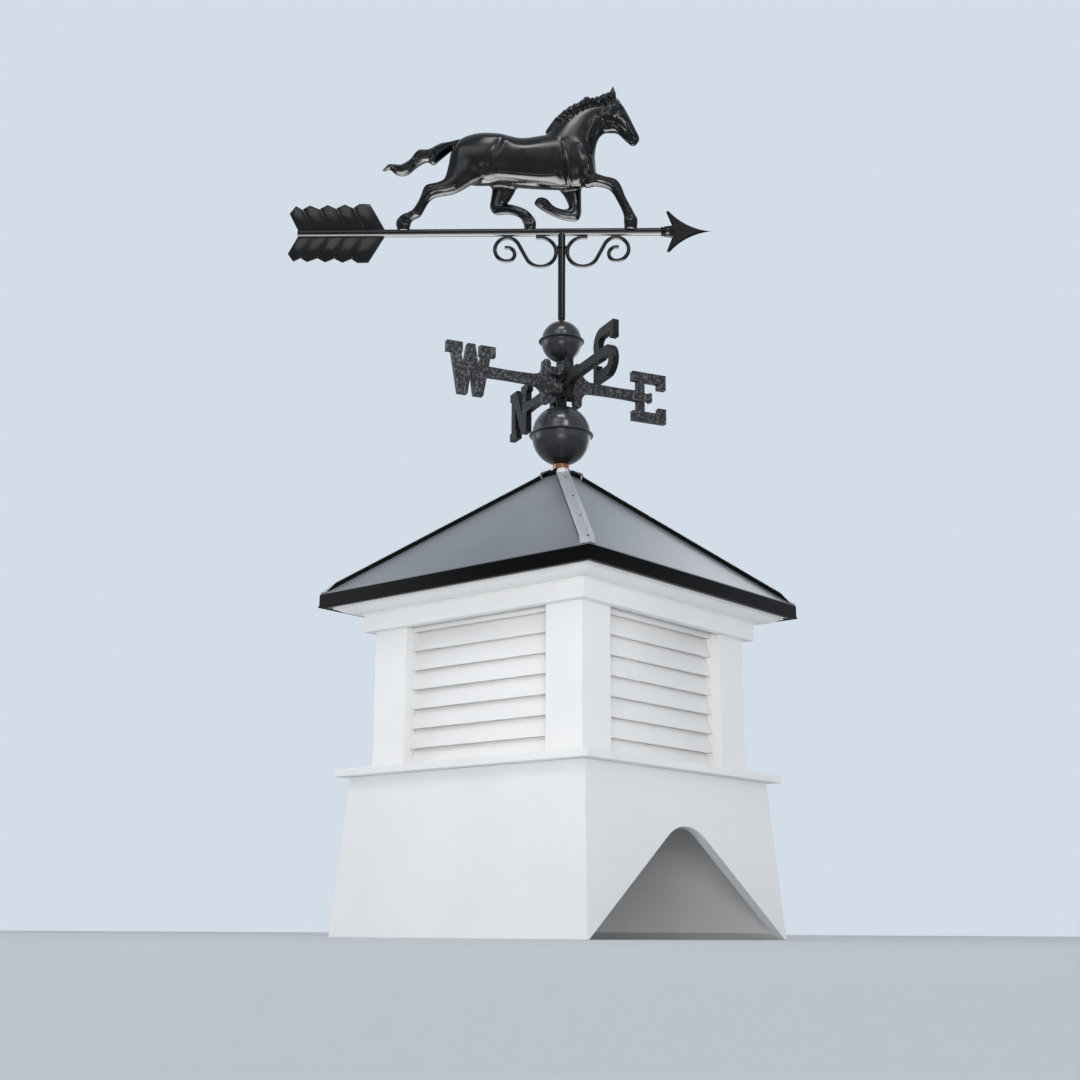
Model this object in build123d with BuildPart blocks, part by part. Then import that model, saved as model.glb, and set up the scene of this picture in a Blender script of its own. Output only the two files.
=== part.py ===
from build123d import *

import os
from math import atan2, cos, degrees, hypot, radians, sin

# Barn cupola: a square, louvred roof cupola with a full-bodied horse weathervane.
# Millimetres, +Z up. The origin is the centre of the base's bottom, the front faces -Y,
# and the notches that sit over a roof ridge are in the left (-X) and right (+X) walls.

# Base, four tapered boards mitred at the corners
base_half = 279.4
base_top_half = 259.6
base_height = 270.0
board = 19.0
rest_land = 4.5
ridge_slope = 0.73
ridge_round = 90.0

# Ledge that caps the base
ledge_half = 279.4
ledge_inner_half = 190.0
ledge_thick = 12.5

# Louvred body
post_half = 233.2
post_width = 75.0
post_thick = 18.5
louvre_half_width = 192.0
louvre_depth = 20.0
louvre_pitch = 34.0
louvre_blades = 7
blade_thick = 7.0
blade_rise = 39.0
blade_lean = 12.0
stile_inner = 160.0

# Frieze, cornice moulding and soffit
frieze_bottom = 525.3
frieze_top = 555.0
frieze_half = 249.1
crown_half = 288.0
crown_top = 570.0
crown_fillet = 4.5
cove_radius = 42.0
soffit_thick = 6.0

# Roof
eave_half = 304.6
eave_bottom = 568.5
eave_top = 593.4
apex_height = 842.0
seat_height = 824.0
roof_thick = 12.0
hip_flange = 15.0
hip_sheet = 2.0

# Finial: peak cap, collar, rod and balls
cap_half = 26.0
cap_skirt_top = 828.0
cap_flat_half = 14.0
cap_top = 836.0
cap_skirt = 10.0
cap_edge_round = 3.0
collar_radius = 15.5
rod_radius = 4.75
large_ball_radius = 54.0
small_ball_radius = 37.2
ball_lift = 2.6
large_ball_height = 903.4
small_ball_height = 1089.0
rim_overhang = 5.8
rim_thick = 2.4

# Directionals: two castings that cross on the rod
east_bearing = 64.5
letter_reach = 184.0
letter_height = 98.0
casting_thick = 12.0
arm_half_height = 10.5
arm_waist = 1.3
plate_edge = 24.0
plate_height = 88.0
plate_lobe = 8.0
plate_sweep = 20.0
knuckle_half_length = 27.0
knuckle_half_width = 9.0
neck_radius = 10.0
# Heights where the castings' knuckles take turns on the rod, as shares of the hub
knuckle_levels = [0.0, 0.135, 0.25, 0.49, 0.66, 0.83, 1.0]

# Weathervane
vane_bearing = 38.4
shaft_height = 1312.9
shaft_radius = 7.5
shaft_back = 508.0
shaft_front = 206.0
sleeve_radius = 7.1
sleeve_bore = 4.85
sleeve_bottom = 1134.5
sleeve_ring_drop = 31.5
sleeve_ring_proud = 1.8
sleeve_ring_height = 5.0
scroll_wire = 3.7
scroll_reach = 10.8
hook_radius = 29.7
loop_radius = 24.0
curl_radius = 14.0
weld_length = 14.0
weld_width = 5.0

# Arrowhead and fletching, measured along the shaft and up from it
head_tip = (287.0, 0.0)
barb_outer = (205.0, 43.5)
barb_inner = (200.0, 41.5)
head_notch = (211.0, 13.0)
head_curve = (238.0, 15.5)
head_half_thick = 3.0
head_bevel = 40.0
socket_start = 190.0
socket_end = 216.0
feather_pitch = 32.0
feather_count = 5
feather_height = 61.0
feather_valley = 53.0
feather_tip = 22.0
fletch_front = -340.0
fletch_back = -507.0
fletch_rake = 31.0
fletch_half_thick = 1.5

# Horse
mane_start = (-27.0, 212.0)
mane_end = (91.0, 292.0)
mane_locks = 7
mane_half_thick = 6.0
mane_depth = 40.0

# Derived sizes
REACH = 700.0
DEEP = 300.0
roof_slope = (apex_height - eave_top) / eave_half
ledge_top = base_height + ledge_thick
louvre_half = post_half - post_thick
SIDES = {"front": 0, "right": 90, "back": 180, "left": 270}

os.makedirs("parts", exist_ok=True)


def finish(piece, name):
    """Labels a finished piece and writes it as one STEP file."""
    piece.part.label = name
    export_step(piece.part, f"parts/{name}.step")


def side_plane(turn):
    """Plane across one wall: its x runs outward and its y runs up."""
    outward = Vector(0, -1, 0).rotate(Axis.Z, turn)
    return Plane(origin=(0, 0, 0), x_dir=outward, z_dir=outward.cross(Vector(0, 0, 1)))


def mitred(profile, turn):
    """One straight member of a square ring, cut at 45 degrees at both ends."""
    plane = side_plane(turn)
    with BuildPart() as member:
        with BuildSketch(plane):
            with BuildLine():
                Polyline(*profile, close=True)
            make_face()
        extrude(amount=REACH, both=True)
        split(bisect_by=Plane(origin=(0, 0, 0), z_dir=plane.x_dir + plane.z_dir), keep=Keep.TOP)
        split(bisect_by=Plane(origin=(0, 0, 0), z_dir=plane.x_dir - plane.z_dir), keep=Keep.TOP)
    return member


# The roof that the base straddles, as a prism along X with a rounded ridge
foot = base_half - rest_land
ridge_apex = foot * ridge_slope
with BuildPart() as roof_ridge:
    with BuildSketch(Plane.YZ):
        with BuildLine():
            Polyline((-foot, 0), (0, ridge_apex), (foot, 0), (foot, -10), (-foot, -10), close=True)
        make_face()
        crest = vertices().sort_by(Axis.Y)[-1]
        fillet(crest, radius=ridge_round)
    extrude(amount=REACH, both=True)

# Base walls
base_profile = [
    (base_half, 0),
    (base_top_half, base_height),
    (base_top_half - board, base_height),
    (base_half - board, 0),
]
for side, turn in SIDES.items():
    with BuildPart() as base_wall:
        add(mitred(base_profile, turn))
        add(roof_ridge, mode=Mode.SUBTRACT)
    finish(base_wall, f"base_{side}_wall")

# Ledge boards
ledge_profile = [
    (ledge_half, base_height),
    (ledge_half, ledge_top),
    (ledge_inner_half, ledge_top),
    (ledge_inner_half, base_height),
]
for side, turn in SIDES.items():
    finish(mitred(ledge_profile, turn), f"ledge_{side}")

# Corner posts, an L of two boards each
POSTS = {"front_left": (-1, -1), "front_right": (1, -1), "back_right": (1, 1), "back_left": (-1, 1)}
for corner, (to_x, to_y) in POSTS.items():
    with BuildPart() as post:
        with BuildSketch(Plane.XY.offset(ledge_top)):
            with Locations((to_x * (post_half - post_width / 2), to_y * (post_half - post_width / 2))):
                Rectangle(post_width, post_width)
            inner = post_width - post_thick
            offset_in = post_half - post_width + inner / 2
            with Locations((to_x * offset_in, to_y * offset_in)):
                Rectangle(inner, inner, mode=Mode.SUBTRACT)
        extrude(amount=crown_top - ledge_top)
    finish(post, f"post_{corner}")

# Louvre panels: a frame of two stiles and a head, with steep blades housed in it
panel_height = crown_top - ledge_top
blade_top = ledge_top + louvre_pitch * louvre_blades
for side, turn in SIDES.items():
    plane = side_plane(turn)
    with BuildPart() as panel:
        with BuildSketch(plane.offset(stile_inner)):
            with Locations((louvre_half - louvre_depth / 2, ledge_top + panel_height / 2)):
                Rectangle(louvre_depth, panel_height)
        extrude(amount=louvre_half_width - stile_inner)
        mirror(about=plane)
        with BuildSketch(plane):
            head = crown_top - blade_top
            with Locations((louvre_half - louvre_depth / 2, crown_top - head / 2)):
                Rectangle(louvre_depth, head)
            for index in range(louvre_blades):
                lip = ledge_top + louvre_pitch * index
                with BuildLine():
                    Polyline(
                        (louvre_half - 0.5, lip),
                        (louvre_half - 0.5 - blade_lean, lip + blade_rise),
                        (louvre_half - 0.5 - blade_lean - blade_thick, lip + blade_rise),
                        (louvre_half - 0.5 - blade_thick, lip),
                        close=True,
                    )
                make_face()
        extrude(amount=stile_inner + 1, both=True)
    finish(panel, f"louvre_{side}")

# Frieze boards
frieze_profile = [
    (frieze_half, frieze_bottom),
    (frieze_half, crown_top),
    (post_half, crown_top),
    (post_half, frieze_bottom),
]
for side, turn in SIDES.items():
    finish(mitred(frieze_profile, turn), f"frieze_{side}")

# Cornice moulding: a cove between two small fillets
cove_foot = (frieze_half + 3.0, frieze_top + 2.5)
cove_head = (crown_half - 4.0, crown_top - crown_fillet)
for side, turn in SIDES.items():
    plane = side_plane(turn)
    with BuildPart() as crown:
        with BuildSketch(plane):
            with BuildLine():
                Polyline(
                    cove_head,
                    (crown_half, cove_head[1]),
                    (crown_half, crown_top),
                    (frieze_half, crown_top),
                    (frieze_half, frieze_top),
                    (cove_foot[0], frieze_top),
                    cove_foot,
                )
                RadiusArc(cove_head, cove_foot, cove_radius)
            make_face()
        extrude(amount=REACH, both=True)
        split(bisect_by=Plane(origin=(0, 0, 0), z_dir=plane.x_dir + plane.z_dir), keep=Keep.TOP)
        split(bisect_by=Plane(origin=(0, 0, 0), z_dir=plane.x_dir - plane.z_dir), keep=Keep.TOP)
    finish(crown, f"crown_{side}")

# Soffit ring under the eaves
with BuildPart() as soffit:
    with BuildSketch(Plane.XY.offset(crown_top)):
        Rectangle(2 * (eave_half - roof_thick), 2 * (eave_half - roof_thick))
        Rectangle(2 * (post_half - post_width), 2 * (post_half - post_width), mode=Mode.SUBTRACT)
    extrude(amount=soffit_thick)
finish(soffit, "soffit")

# Roof panels, cut level under the peak cap, each with its drip edge turned down over the soffit
inner_apex = apex_height - roof_thick * hypot(1, roof_slope)
inner_eave = eave_half - roof_thick
seat_half = (apex_height - seat_height) / roof_slope
roof_profile = [
    (eave_half, eave_bottom),
    (eave_half, eave_top),
    (seat_half, seat_height),
    (0, seat_height),
    (0, seat_height - roof_thick),
    ((inner_apex - seat_height + roof_thick) / roof_slope, seat_height - roof_thick),
    (inner_eave, inner_apex - inner_eave * roof_slope),
    (inner_eave, eave_bottom),
]
for side, turn in SIDES.items():
    with BuildPart() as roof_panel:
        add(mitred(roof_profile, turn))
        with BuildSketch(Plane.XY.offset(seat_height)):
            Circle(rod_radius)
        extrude(amount=-2 * roof_thick, mode=Mode.SUBTRACT)
    finish(roof_panel, f"roof_{side}_panel")


def pyramid(lift):
    """The roof's outer pyramid, raised by lift and cut level at the seat of the peak cap."""
    low = eave_top - 2 * roof_thick
    with BuildPart() as shape:
        with BuildSketch(Plane.XY.offset(low)):
            half = (apex_height + lift - low) / roof_slope
            Rectangle(2 * half, 2 * half)
        with BuildSketch(Plane.XY.offset(seat_height + lift)):
            Rectangle(2 * seat_half, 2 * seat_half)
        loft()
    return shape


# Hip caps, folded strips that cover the four hips
with BuildPart() as hip_caps:
    add(pyramid(hip_sheet * hypot(1, roof_slope)))
    add(pyramid(0), mode=Mode.SUBTRACT)
    with BuildSketch(Plane.XY.offset(eave_top + 0.5)):
        Rectangle(2 * eave_half + 2, 2 * eave_half + 2)
    extrude(amount=DEEP, mode=Mode.INTERSECT)
    with BuildSketch(Plane.XY.offset(eave_top)):
        with Locations(Location((0, 0, 0), (0, 0, 45))):
            Rectangle(2 * REACH, 2 * hip_flange)
            Rectangle(2 * hip_flange, 2 * REACH)
        Rectangle(2 * cap_half, 2 * cap_half, mode=Mode.SUBTRACT)
    extrude(amount=DEEP, mode=Mode.INTERSECT)
finish(hip_caps, "hip_caps")

# Peak cap, a pressed cap with rounded shoulders, seated over the ends of the hip caps
with BuildPart() as peak_cap:
    with BuildSketch(Plane.XY.offset(cap_skirt_top - cap_skirt)):
        Rectangle(2 * cap_half, 2 * cap_half)
    extrude(amount=cap_skirt)
    with BuildSketch(Plane.XY.offset(cap_skirt_top)):
        Rectangle(2 * cap_half, 2 * cap_half)
    with BuildSketch(Plane.XY.offset(cap_top)):
        Rectangle(2 * cap_flat_half, 2 * cap_flat_half)
    loft()
    fillet(peak_cap.edges().group_by(Axis.Z)[-1], radius=cap_edge_round)
    add(pyramid(0), mode=Mode.SUBTRACT)
    with BuildSketch(Plane.XY.offset(cap_top + 1)):
        Circle(rod_radius)
    extrude(amount=-3 * cap_skirt, mode=Mode.SUBTRACT)
finish(peak_cap, "peak_cap")

# Copper collar under the large ball
collar_top = large_ball_height - large_ball_radius - ball_lift
with BuildPart() as collar:
    with BuildSketch(Plane.XY.offset(cap_top)):
        Circle(collar_radius)
        Circle(rod_radius, mode=Mode.SUBTRACT)
    extrude(amount=collar_top - cap_top)
finish(collar, "copper_collar")


def ball(radius, height):
    """A ball of two spun halves that meet in a thin rim, bored for the rod."""
    with BuildPart() as shape:
        with BuildSketch(Plane.XZ):
            with BuildLine():
                upper = CenterArc((0, height + ball_lift), radius, 0, 90)
                lower = CenterArc((0, height - ball_lift), radius, 270, 90)
                Polyline(
                    upper @ 0,
                    (radius + rim_overhang, height + rim_thick / 2),
                    (radius + rim_overhang, height - rim_thick / 2),
                    lower @ 1,
                )
                Line(upper @ 1, lower @ 0)
            make_face()
            with Locations((0, height)):
                Rectangle(2 * rod_radius, 4 * radius, mode=Mode.SUBTRACT)
        revolve(axis=Axis.Z)
    return shape


finish(ball(large_ball_radius, large_ball_height), "large_ball")
finish(ball(small_ball_radius, small_ball_height), "small_ball")

# Fixed rod that the balls and castings are threaded on and the vane turns on
rod_foot = seat_height - 2 * roof_thick
sleeve_bore_top = shaft_height - shaft_radius - 6
with BuildPart() as vane_rod:
    with BuildSketch(Plane.XY.offset(rod_foot)):
        Circle(rod_radius)
    extrude(amount=sleeve_bore_top - 0.2 - rod_foot)
    chamfer(vane_rod.faces().sort_by(Axis.Z)[-1].edges(), length=1.5)
finish(vane_rod, "vane_rod")

# Directional castings
knuckle_low = large_ball_height + large_ball_radius + ball_lift
knuckle_high = small_ball_height - small_ball_radius - ball_lift
hub_height = (knuckle_low + knuckle_high) / 2
hub_size = knuckle_high - knuckle_low


def casting_plane(bearing):
    """Vertical plane through the rod: its x runs along the bearing, its y runs up."""
    along = Vector(cos(radians(bearing)), sin(radians(bearing)), 0)
    return Plane(origin=(0, 0, hub_height), x_dir=along, z_dir=along.cross(Vector(0, 0, 1)))


def letter_e(x):
    """Slab-serif E about x, its stem towards the rod, drawn in the current sketch."""
    wide, stem, serif, bar = 72.0, 15.0, 10.5, 19.0
    tick, tick_drop, middle_reach, middle_bar = 17.0, 11.0, 13.0, 18.0
    stem_side = x - wide / 2 + serif + stem
    with Locations((stem_side - stem / 2, 0)):
        Rectangle(stem, letter_height)
    for level in (-1, 1):
        with Locations((x, level * (letter_height - bar) / 2)):
            Rectangle(wide, bar)
        with Locations((x + (wide - tick) / 2, level * (letter_height - bar - tick_drop) / 2)):
            Rectangle(tick, bar + tick_drop)
    with Locations((stem_side + middle_reach / 2, 0)):
        Rectangle(middle_reach, middle_bar - 4)
    with Locations((stem_side + middle_reach, 0)):
        Rectangle(middle_reach / 2, middle_bar)


def letter_n(x):
    """Slab-serif N about x, drawn in the current sketch."""
    wide, stem, serif_wide, serif_tall, slant = 86.0, 19.0, 33.0, 16.0, 23.0
    stem_at = (wide - serif_wide) / 2
    top = letter_height / 2
    edge = stem_at + stem / 2
    for side in (-1, 1):
        with Locations((x + side * stem_at, 0)):
            Rectangle(stem, letter_height)
    with BuildLine() as diagonal:
        Polyline(
            (x - edge, top),
            (x - edge + slant, top),
            (x + edge, -top),
            (x + edge - slant, -top),
            close=True,
        )
    make_face(diagonal.edges())
    for side, level in ((-1, -1), (1, 1), (-1, 1)):
        with Locations((x + side * stem_at, level * (letter_height - serif_tall) / 2)):
            Rectangle(serif_wide, serif_tall)


def letter_w(x):
    """W about x with slab serifs on its outer heads, drawn in the current sketch."""
    head_at, foot_at, outer_stroke, inner_stroke = 32.5, 15.5, 18.0, 15.0
    serif_wide, serif_tall = 31.0, 20.0
    top = letter_height / 2
    for side in (-1, 1):
        foot_x = x + side * foot_at
        for head_x, head_stroke in ((x + side * head_at, outer_stroke), (x, inner_stroke)):
            with BuildLine() as stroke:
                Polyline(
                    (head_x - head_stroke / 2, top),
                    (head_x + head_stroke / 2, top),
                    (foot_x + outer_stroke / 2, -top),
                    (foot_x - outer_stroke / 2, -top),
                    close=True,
                )
            make_face(stroke.edges())
        with Locations((x + side * head_at, top - serif_tall / 2)):
            Rectangle(serif_wide, serif_tall)


def letter_s(x):
    """S about x with block serifs at its ends, drawn in the current sketch."""
    wide, stroke, serif_wide, serif_tall = 77.0, 19.0, 13.0, 32.0
    bowl = (letter_height - stroke) / 4
    side = (wide - stroke) / 2 - bowl
    serif_at = (wide - serif_wide) / 2
    with BuildLine() as spine:
        cap = Line((x + serif_at, 2 * bowl), (x - side, 2 * bowl))
        upper = CenterArc((x - side, bowl), bowl, 90, 180)
        middle = Line(upper @ 1, (x + side, 0))
        lower = CenterArc((x + side, -bowl), bowl, 90, -180)
        Line(lower @ 1, (x - serif_at, -2 * bowl))
    trace(spine.edges(), line_width=stroke)
    for end in (-1, 1):
        with Locations((x + end * serif_at, end * (letter_height - serif_tall) / 2)):
            Rectangle(serif_wide, serif_tall)


def arm(toward, arm_end):
    """Slightly waisted arm that sweeps into a lobed plate at the hub, drawn in the current sketch."""
    lobe_top = plate_height / 2
    lobe_side = plate_edge + 2 * plate_lobe
    root = lobe_side + plate_sweep
    sweep_foot = arm_half_height + plate_sweep
    inset = plate_sweep * sin(radians(45))
    with BuildLine() as outline:
        for up in (1, -1):
            ThreePointArc(
                (toward * arm_end, up * arm_half_height),
                (toward * (root + arm_end) / 2, up * (arm_half_height - arm_waist)),
                (toward * root, up * arm_half_height),
            )
            ThreePointArc(
                (toward * root, up * arm_half_height),
                (toward * (root - inset), up * (sweep_foot - inset)),
                (toward * lobe_side, up * sweep_foot),
            )
            Line((toward * lobe_side, up * sweep_foot), (toward * lobe_side, up * (lobe_top - plate_lobe)))
            ThreePointArc(
                (toward * lobe_side, up * (lobe_top - plate_lobe)),
                (toward * (plate_edge + plate_lobe), up * lobe_top),
                (toward * plate_edge, up * (lobe_top - plate_lobe)),
            )
        for x, half in ((plate_edge, lobe_top - plate_lobe), (arm_end, arm_half_height)):
            Line((toward * x, half), (toward * x, -half))
    make_face(outline.edges())


def casting(bearing, letters, knuckles, neck):
    """One directional bar: two letters on arms, joined by its knuckles round the rod.

    Each letter comes with its side of the rod and the radius that its arm runs out to.
    """
    plane = casting_plane(bearing)
    with BuildPart() as bar:
        with BuildSketch(plane):
            for letter, toward, arm_end in letters:
                letter(toward * letter_reach)
                arm(toward, arm_end)
        extrude(amount=casting_thick / 2, both=True)
        for low, high in knuckles:
            bottom = knuckle_low + low * hub_size
            with BuildSketch(Plane.XY.offset(bottom)):
                with Locations(Location((0, 0, 0), (0, 0, bearing))):
                    Rectangle(2 * knuckle_half_length, 2 * knuckle_half_width)
                Circle(neck_radius + 2)
            extrude(amount=(high - low) * hub_size)
        low, high = neck
        with BuildSketch(Plane.XY.offset(knuckle_low + low * hub_size)):
            Circle(neck_radius)
        extrude(amount=(high - low) * hub_size)
        with BuildSketch(Plane.XY.offset(knuckle_low - 5)):
            Circle(rod_radius)
        extrude(amount=hub_size + 10, mode=Mode.SUBTRACT)
    return bar


levels = knuckle_levels
west_east = casting(
    east_bearing,
    [(letter_e, 1, letter_reach - 23), (letter_w, -1, letter_reach - 24)],
    [(levels[2], levels[3]), (levels[4], levels[5])],
    (levels[5], levels[6]),
)
north_south = casting(
    east_bearing - 90,
    [(letter_s, 1, letter_reach - 9), (letter_n, -1, letter_reach - 28)],
    [(levels[1], levels[2]), (levels[3], levels[4])],
    (levels[0], levels[1]),
)
finish(west_east, "west_east_casting")
finish(north_south, "north_south_casting")

# Weathervane frame: x runs along the arrow towards its head, y up, z towards the viewer
vane_along = Vector(cos(radians(vane_bearing)), sin(radians(vane_bearing)), 0)
vane_plane = Plane(origin=(0, 0, shaft_height), x_dir=vane_along, z_dir=vane_along.cross(Vector(0, 0, 1)))
vane_across = Plane(origin=vane_plane.origin, x_dir=vane_plane.z_dir, z_dir=vane_along)


# Solid rod along the arrow, which every vane piece is cut back to
with BuildPart() as arrow_shaft:
    with BuildSketch(vane_across.offset(-shaft_back)):
        Circle(shaft_radius)
    extrude(amount=shaft_back + shaft_front)
finish(arrow_shaft, "arrow_shaft")

# Sleeve that turns on the rod, closed at the top, with a welded ring
with BuildPart() as sleeve:
    with BuildSketch(Plane.XY.offset(sleeve_bottom)):
        Circle(sleeve_radius)
    extrude(amount=shaft_height - sleeve_bottom)
    with BuildSketch(Plane.XY.offset(shaft_height - sleeve_ring_drop)):
        Circle(sleeve_radius + sleeve_ring_proud)
    extrude(amount=sleeve_ring_height / 2, both=True)
    with BuildSketch(Plane.XY.offset(sleeve_bottom)):
        Circle(sleeve_bore)
    extrude(amount=sleeve_bore_top - sleeve_bottom, mode=Mode.SUBTRACT)
    add(arrow_shaft, mode=Mode.SUBTRACT)
finish(sleeve, "vane_sleeve")

# Arrowhead: a barbed plate with bevelled edges, on a short socket
root_start = socket_start + 6
with BuildPart() as arrow_head:
    with BuildSketch(vane_plane):
        with BuildLine():
            ThreePointArc(barb_outer, head_curve, head_tip)
            Polyline(barb_outer, barb_inner, head_notch, (root_start, head_notch[1] - 2), (root_start, 0))
            Line((root_start, 0), head_tip)
        make_face()
        mirror(about=Plane.XZ)
    extrude(amount=head_half_thick, taper=head_bevel)
    mirror(about=vane_plane)
    with BuildSketch(vane_across.offset(socket_start)):
        Circle(shaft_radius + 2)
    with BuildSketch(vane_across.offset(socket_end)):
        Circle(head_half_thick + 1)
    loft()
    add(arrow_shaft, mode=Mode.SUBTRACT)
finish(arrow_head, "arrow_head")

# Fletching: feathered sheets above and below the shaft
with BuildPart() as fletching:
    with BuildSketch(vane_plane):
        with BuildLine():
            points = [(fletch_front, 0), (fletch_front, 9), (fletch_front - fletch_rake, feather_height)]
            for index in range(feather_count):
                back = fletch_front - fletch_rake - feather_pitch * index
                points += [(back - feather_tip, feather_height), (back - fletch_rake, feather_valley)]
            points[-1] = (back - fletch_rake + 1, feather_valley - 7)
            points += [(fletch_back, 10), (fletch_back, 0)]
            Polyline(*points, close=True)
        make_face()
        mirror(about=Plane.XZ)
    extrude(amount=fletch_half_thick, both=True)
    add(arrow_shaft, mode=Mode.SUBTRACT)
finish(fletching, "arrow_fletching")

# Scrolls: a wire bent into two hooks between the shaft and the sleeve, welded where it touches the shaft
wire_top = -(shaft_radius + scroll_wire)
hook = Vector(-(scroll_reach + hook_radius), wire_top - hook_radius)
loop = Vector(-104.0, wire_top - loop_radius)
span = loop - hook
both_radii = hook_radius + loop_radius
crossing = (span.length**2 - both_radii**2) ** 0.5
cross_angle = degrees(atan2(span.Y, span.X) - atan2(both_radii, crossing))
hook_lead = 9.0
with BuildPart() as scrolls:
    with BuildLine(vane_plane) as wire:
        lead = Line((hook.X - hook_lead, wire_top), (hook.X, wire_top))
        turn_back = CenterArc((hook.X, hook.Y), hook_radius, 90, cross_angle - 360)
        over = CenterArc((loop.X, loop.Y), loop_radius, cross_angle - 90, 360 - cross_angle)
        Line(turn_back @ 1, over @ 0)
        CenterArc((loop.X, loop.Y - loop_radius + curl_radius), curl_radius, 270, 200)
    with BuildSketch(Plane(origin=lead @ 0, z_dir=lead % 0)):
        Circle(scroll_wire)
    sweep(path=wire.wires()[0])
    with BuildSketch(vane_plane):
        for weld_x in (hook.X, loop.X):
            with Locations((weld_x, wire_top / 2)):
                Rectangle(weld_length, -wire_top)
    extrude(amount=weld_width / 2, both=True)
    mirror(about=Plane(origin=(0, 0, 0), z_dir=vane_along))
    add(sleeve, mode=Mode.SUBTRACT)
    add(arrow_shaft, mode=Mode.SUBTRACT)
finish(scrolls, "scrolls")


def oval(tall, wide):
    """Face of an oval drawn as four like curves, so that every section lofts point to point."""
    bulge = 0.5523
    with BuildLine() as outline:
        for across, up in ((1, 1), (-1, 1), (-1, -1), (1, -1)):
            first = (tall * across, 0) if across == up else (0, wide * up)
            last = (0, wide * up) if across == up else (tall * across, 0)
            if across == up:
                Bezier(first, (tall * across, wide * up * bulge), (tall * across * bulge, wide * up), last)
            else:
                Bezier(first, (tall * across * bulge, wide * up), (tall * across, wide * up * bulge), last)
    make_face(outline.edges())


def limb(sections, side=0.0, ruled=False):
    """A rounded form of the horse, lofted through oval sections.

    Each section is (one point, other point, half width, side step): the two points lie on
    the horse's outline in the vane's plane, and the step moves the section sideways.
    A ruled form runs straight between its sections, as the lean legs do.
    """
    centres = []
    for one, other, half_width, step in sections:
        middle = Vector((one[0] + other[0]) / 2, (one[1] + other[1]) / 2, side + step)
        centres.append(vane_plane.from_local_coords(middle))
    heading = centres[1] - centres[0]
    with BuildPart() as form:
        for centre, (one, other, half_width, step) in zip(centres, sections):
            run, rise = one[0] - other[0], one[1] - other[1]
            tall = hypot(run, rise)
            across = vane_plane.x_dir * (run / tall) + vane_plane.y_dir * (rise / tall)
            normal = across.cross(vane_plane.z_dir)
            if centre is centres[0]:
                facing = 1 if normal.dot(heading) > 0 else -1
            with BuildSketch(Plane(origin=centre, x_dir=across, z_dir=normal * facing)):
                oval(tall / 2, half_width)
        loft(ruled=ruled)
    return form


# Horse, trotting towards the arrowhead, its hooves seated on the shaft
trunk = limb([
    ((-206, 186), (-214, 160), 12, 0),
    ((-190, 198), (-196, 128), 30, 0),
    ((-160, 207), (-166, 100), 38, 0),
    ((-120, 206), (-120, 99), 37, 0),
    ((-75, 197), (-75, 96), 36, 0),
    ((-30, 203), (-28, 92), 37, 0),
    ((8, 206), (22, 88), 34, 0),
    ((42, 196), (52, 100), 26, 0),
    ((58, 172), (62, 124), 12, 0),
])
neck = limb([
    ((-20, 198), (58, 126), 24, 0),
    ((4, 240), (66, 166), 20, 0),
    ((34, 270), (74, 196), 17, 0),
    ((66, 286), (90, 206), 16, 0),
])
head = limb([
    ((70, 287), (80, 214), 14, 0),
    ((106, 286), (92, 211), 19, 0),
    ((122, 264), (108, 209), 17, 0),
    ((134, 236), (124, 192), 12, 0),
    ((144, 214), (131, 185), 10, 0),
    ((150, 201), (138, 181), 8, 0),
])
tail = limb([
    ((-196, 197), (-206, 176), 10, 0),
    ((-232, 189), (-236, 160), 13, 0),
    ((-262, 176), (-257, 147), 13, 0),
    ((-286, 170), (-280, 136), 12, 0),
    ((-309, 147), (-303, 121), 10, 0),
    ((-334, 145), (-328, 128), 7, 0),
    ((-347, 135), (-345, 129), 3, 0),
])
ear_sections = [
    ((88, 284), (102, 280), 5, 0),
    ((92, 292), (104, 290), 5, 0),
    ((99, 302), (102, 301), 1.5, 0),
]
ears = [limb(ear_sections, ear_side, ruled=True) for ear_side in (-8, 8)]
near_forearm = limb([
    ((24, 142), (66, 142), 15, -4),
    ((38, 112), (80, 116), 14, -2),
    ((68, 84), (94, 108), 11, 0),
    ((98, 64), (118, 82), 9, -3),
], 18, ruled=True)
near_fore_cannon = limb([
    ((102, 80), (116, 88), 8, -2),
    ((106, 60), (124, 66), 8, -6),
    ((114, 40), (131, 46), 7, -9),
    ((119, 20), (140, 24), 8, -12),
    ((118, 3), (142, 4), 10, -14),
], 18, ruled=True)
far_fore = limb([
    ((-8, 130), (34, 118), 15, 0),
    ((2, 92), (36, 86), 12, 0),
    ((11, 60), (37, 52), 9, 2),
    ((7, 51), (17, 29), 8, 5),
    ((-16, 58), (-20, 41), 7, 8),
    ((-34, 73), (-41, 54), 7, 10),
    ((-46, 72), (-51, 62), 6, 12),
], -18, ruled=True)
near_hind = limb([
    ((-214, 152), (-150, 128), 17, -4),
    ((-220, 112), (-176, 92), 13, -2),
    ((-246, 93), (-226, 70), 10, 0),
    ((-268, 76), (-250, 64), 9, -2),
    ((-281, 52), (-264, 44), 8, -6),
    ((-296, 37), (-280, 22), 8, -10),
    ((-316, 22), (-294, 4), 9, -14),
], 18, ruled=True)
far_hind = limb([
    ((-190, 150), (-120, 130), 17, 0),
    ((-136, 96), (-96, 90), 12, 0),
    ((-136, 60), (-105, 66), 9, 2),
    ((-112, 43), (-100, 61), 8, 6),
    ((-84, 37), (-74, 52), 7, 10),
    ((-74, 18), (-51, 26), 8, 14),
    ((-72, 3), (-48, 3), 9, 17),
], -18, ruled=True)
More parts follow.
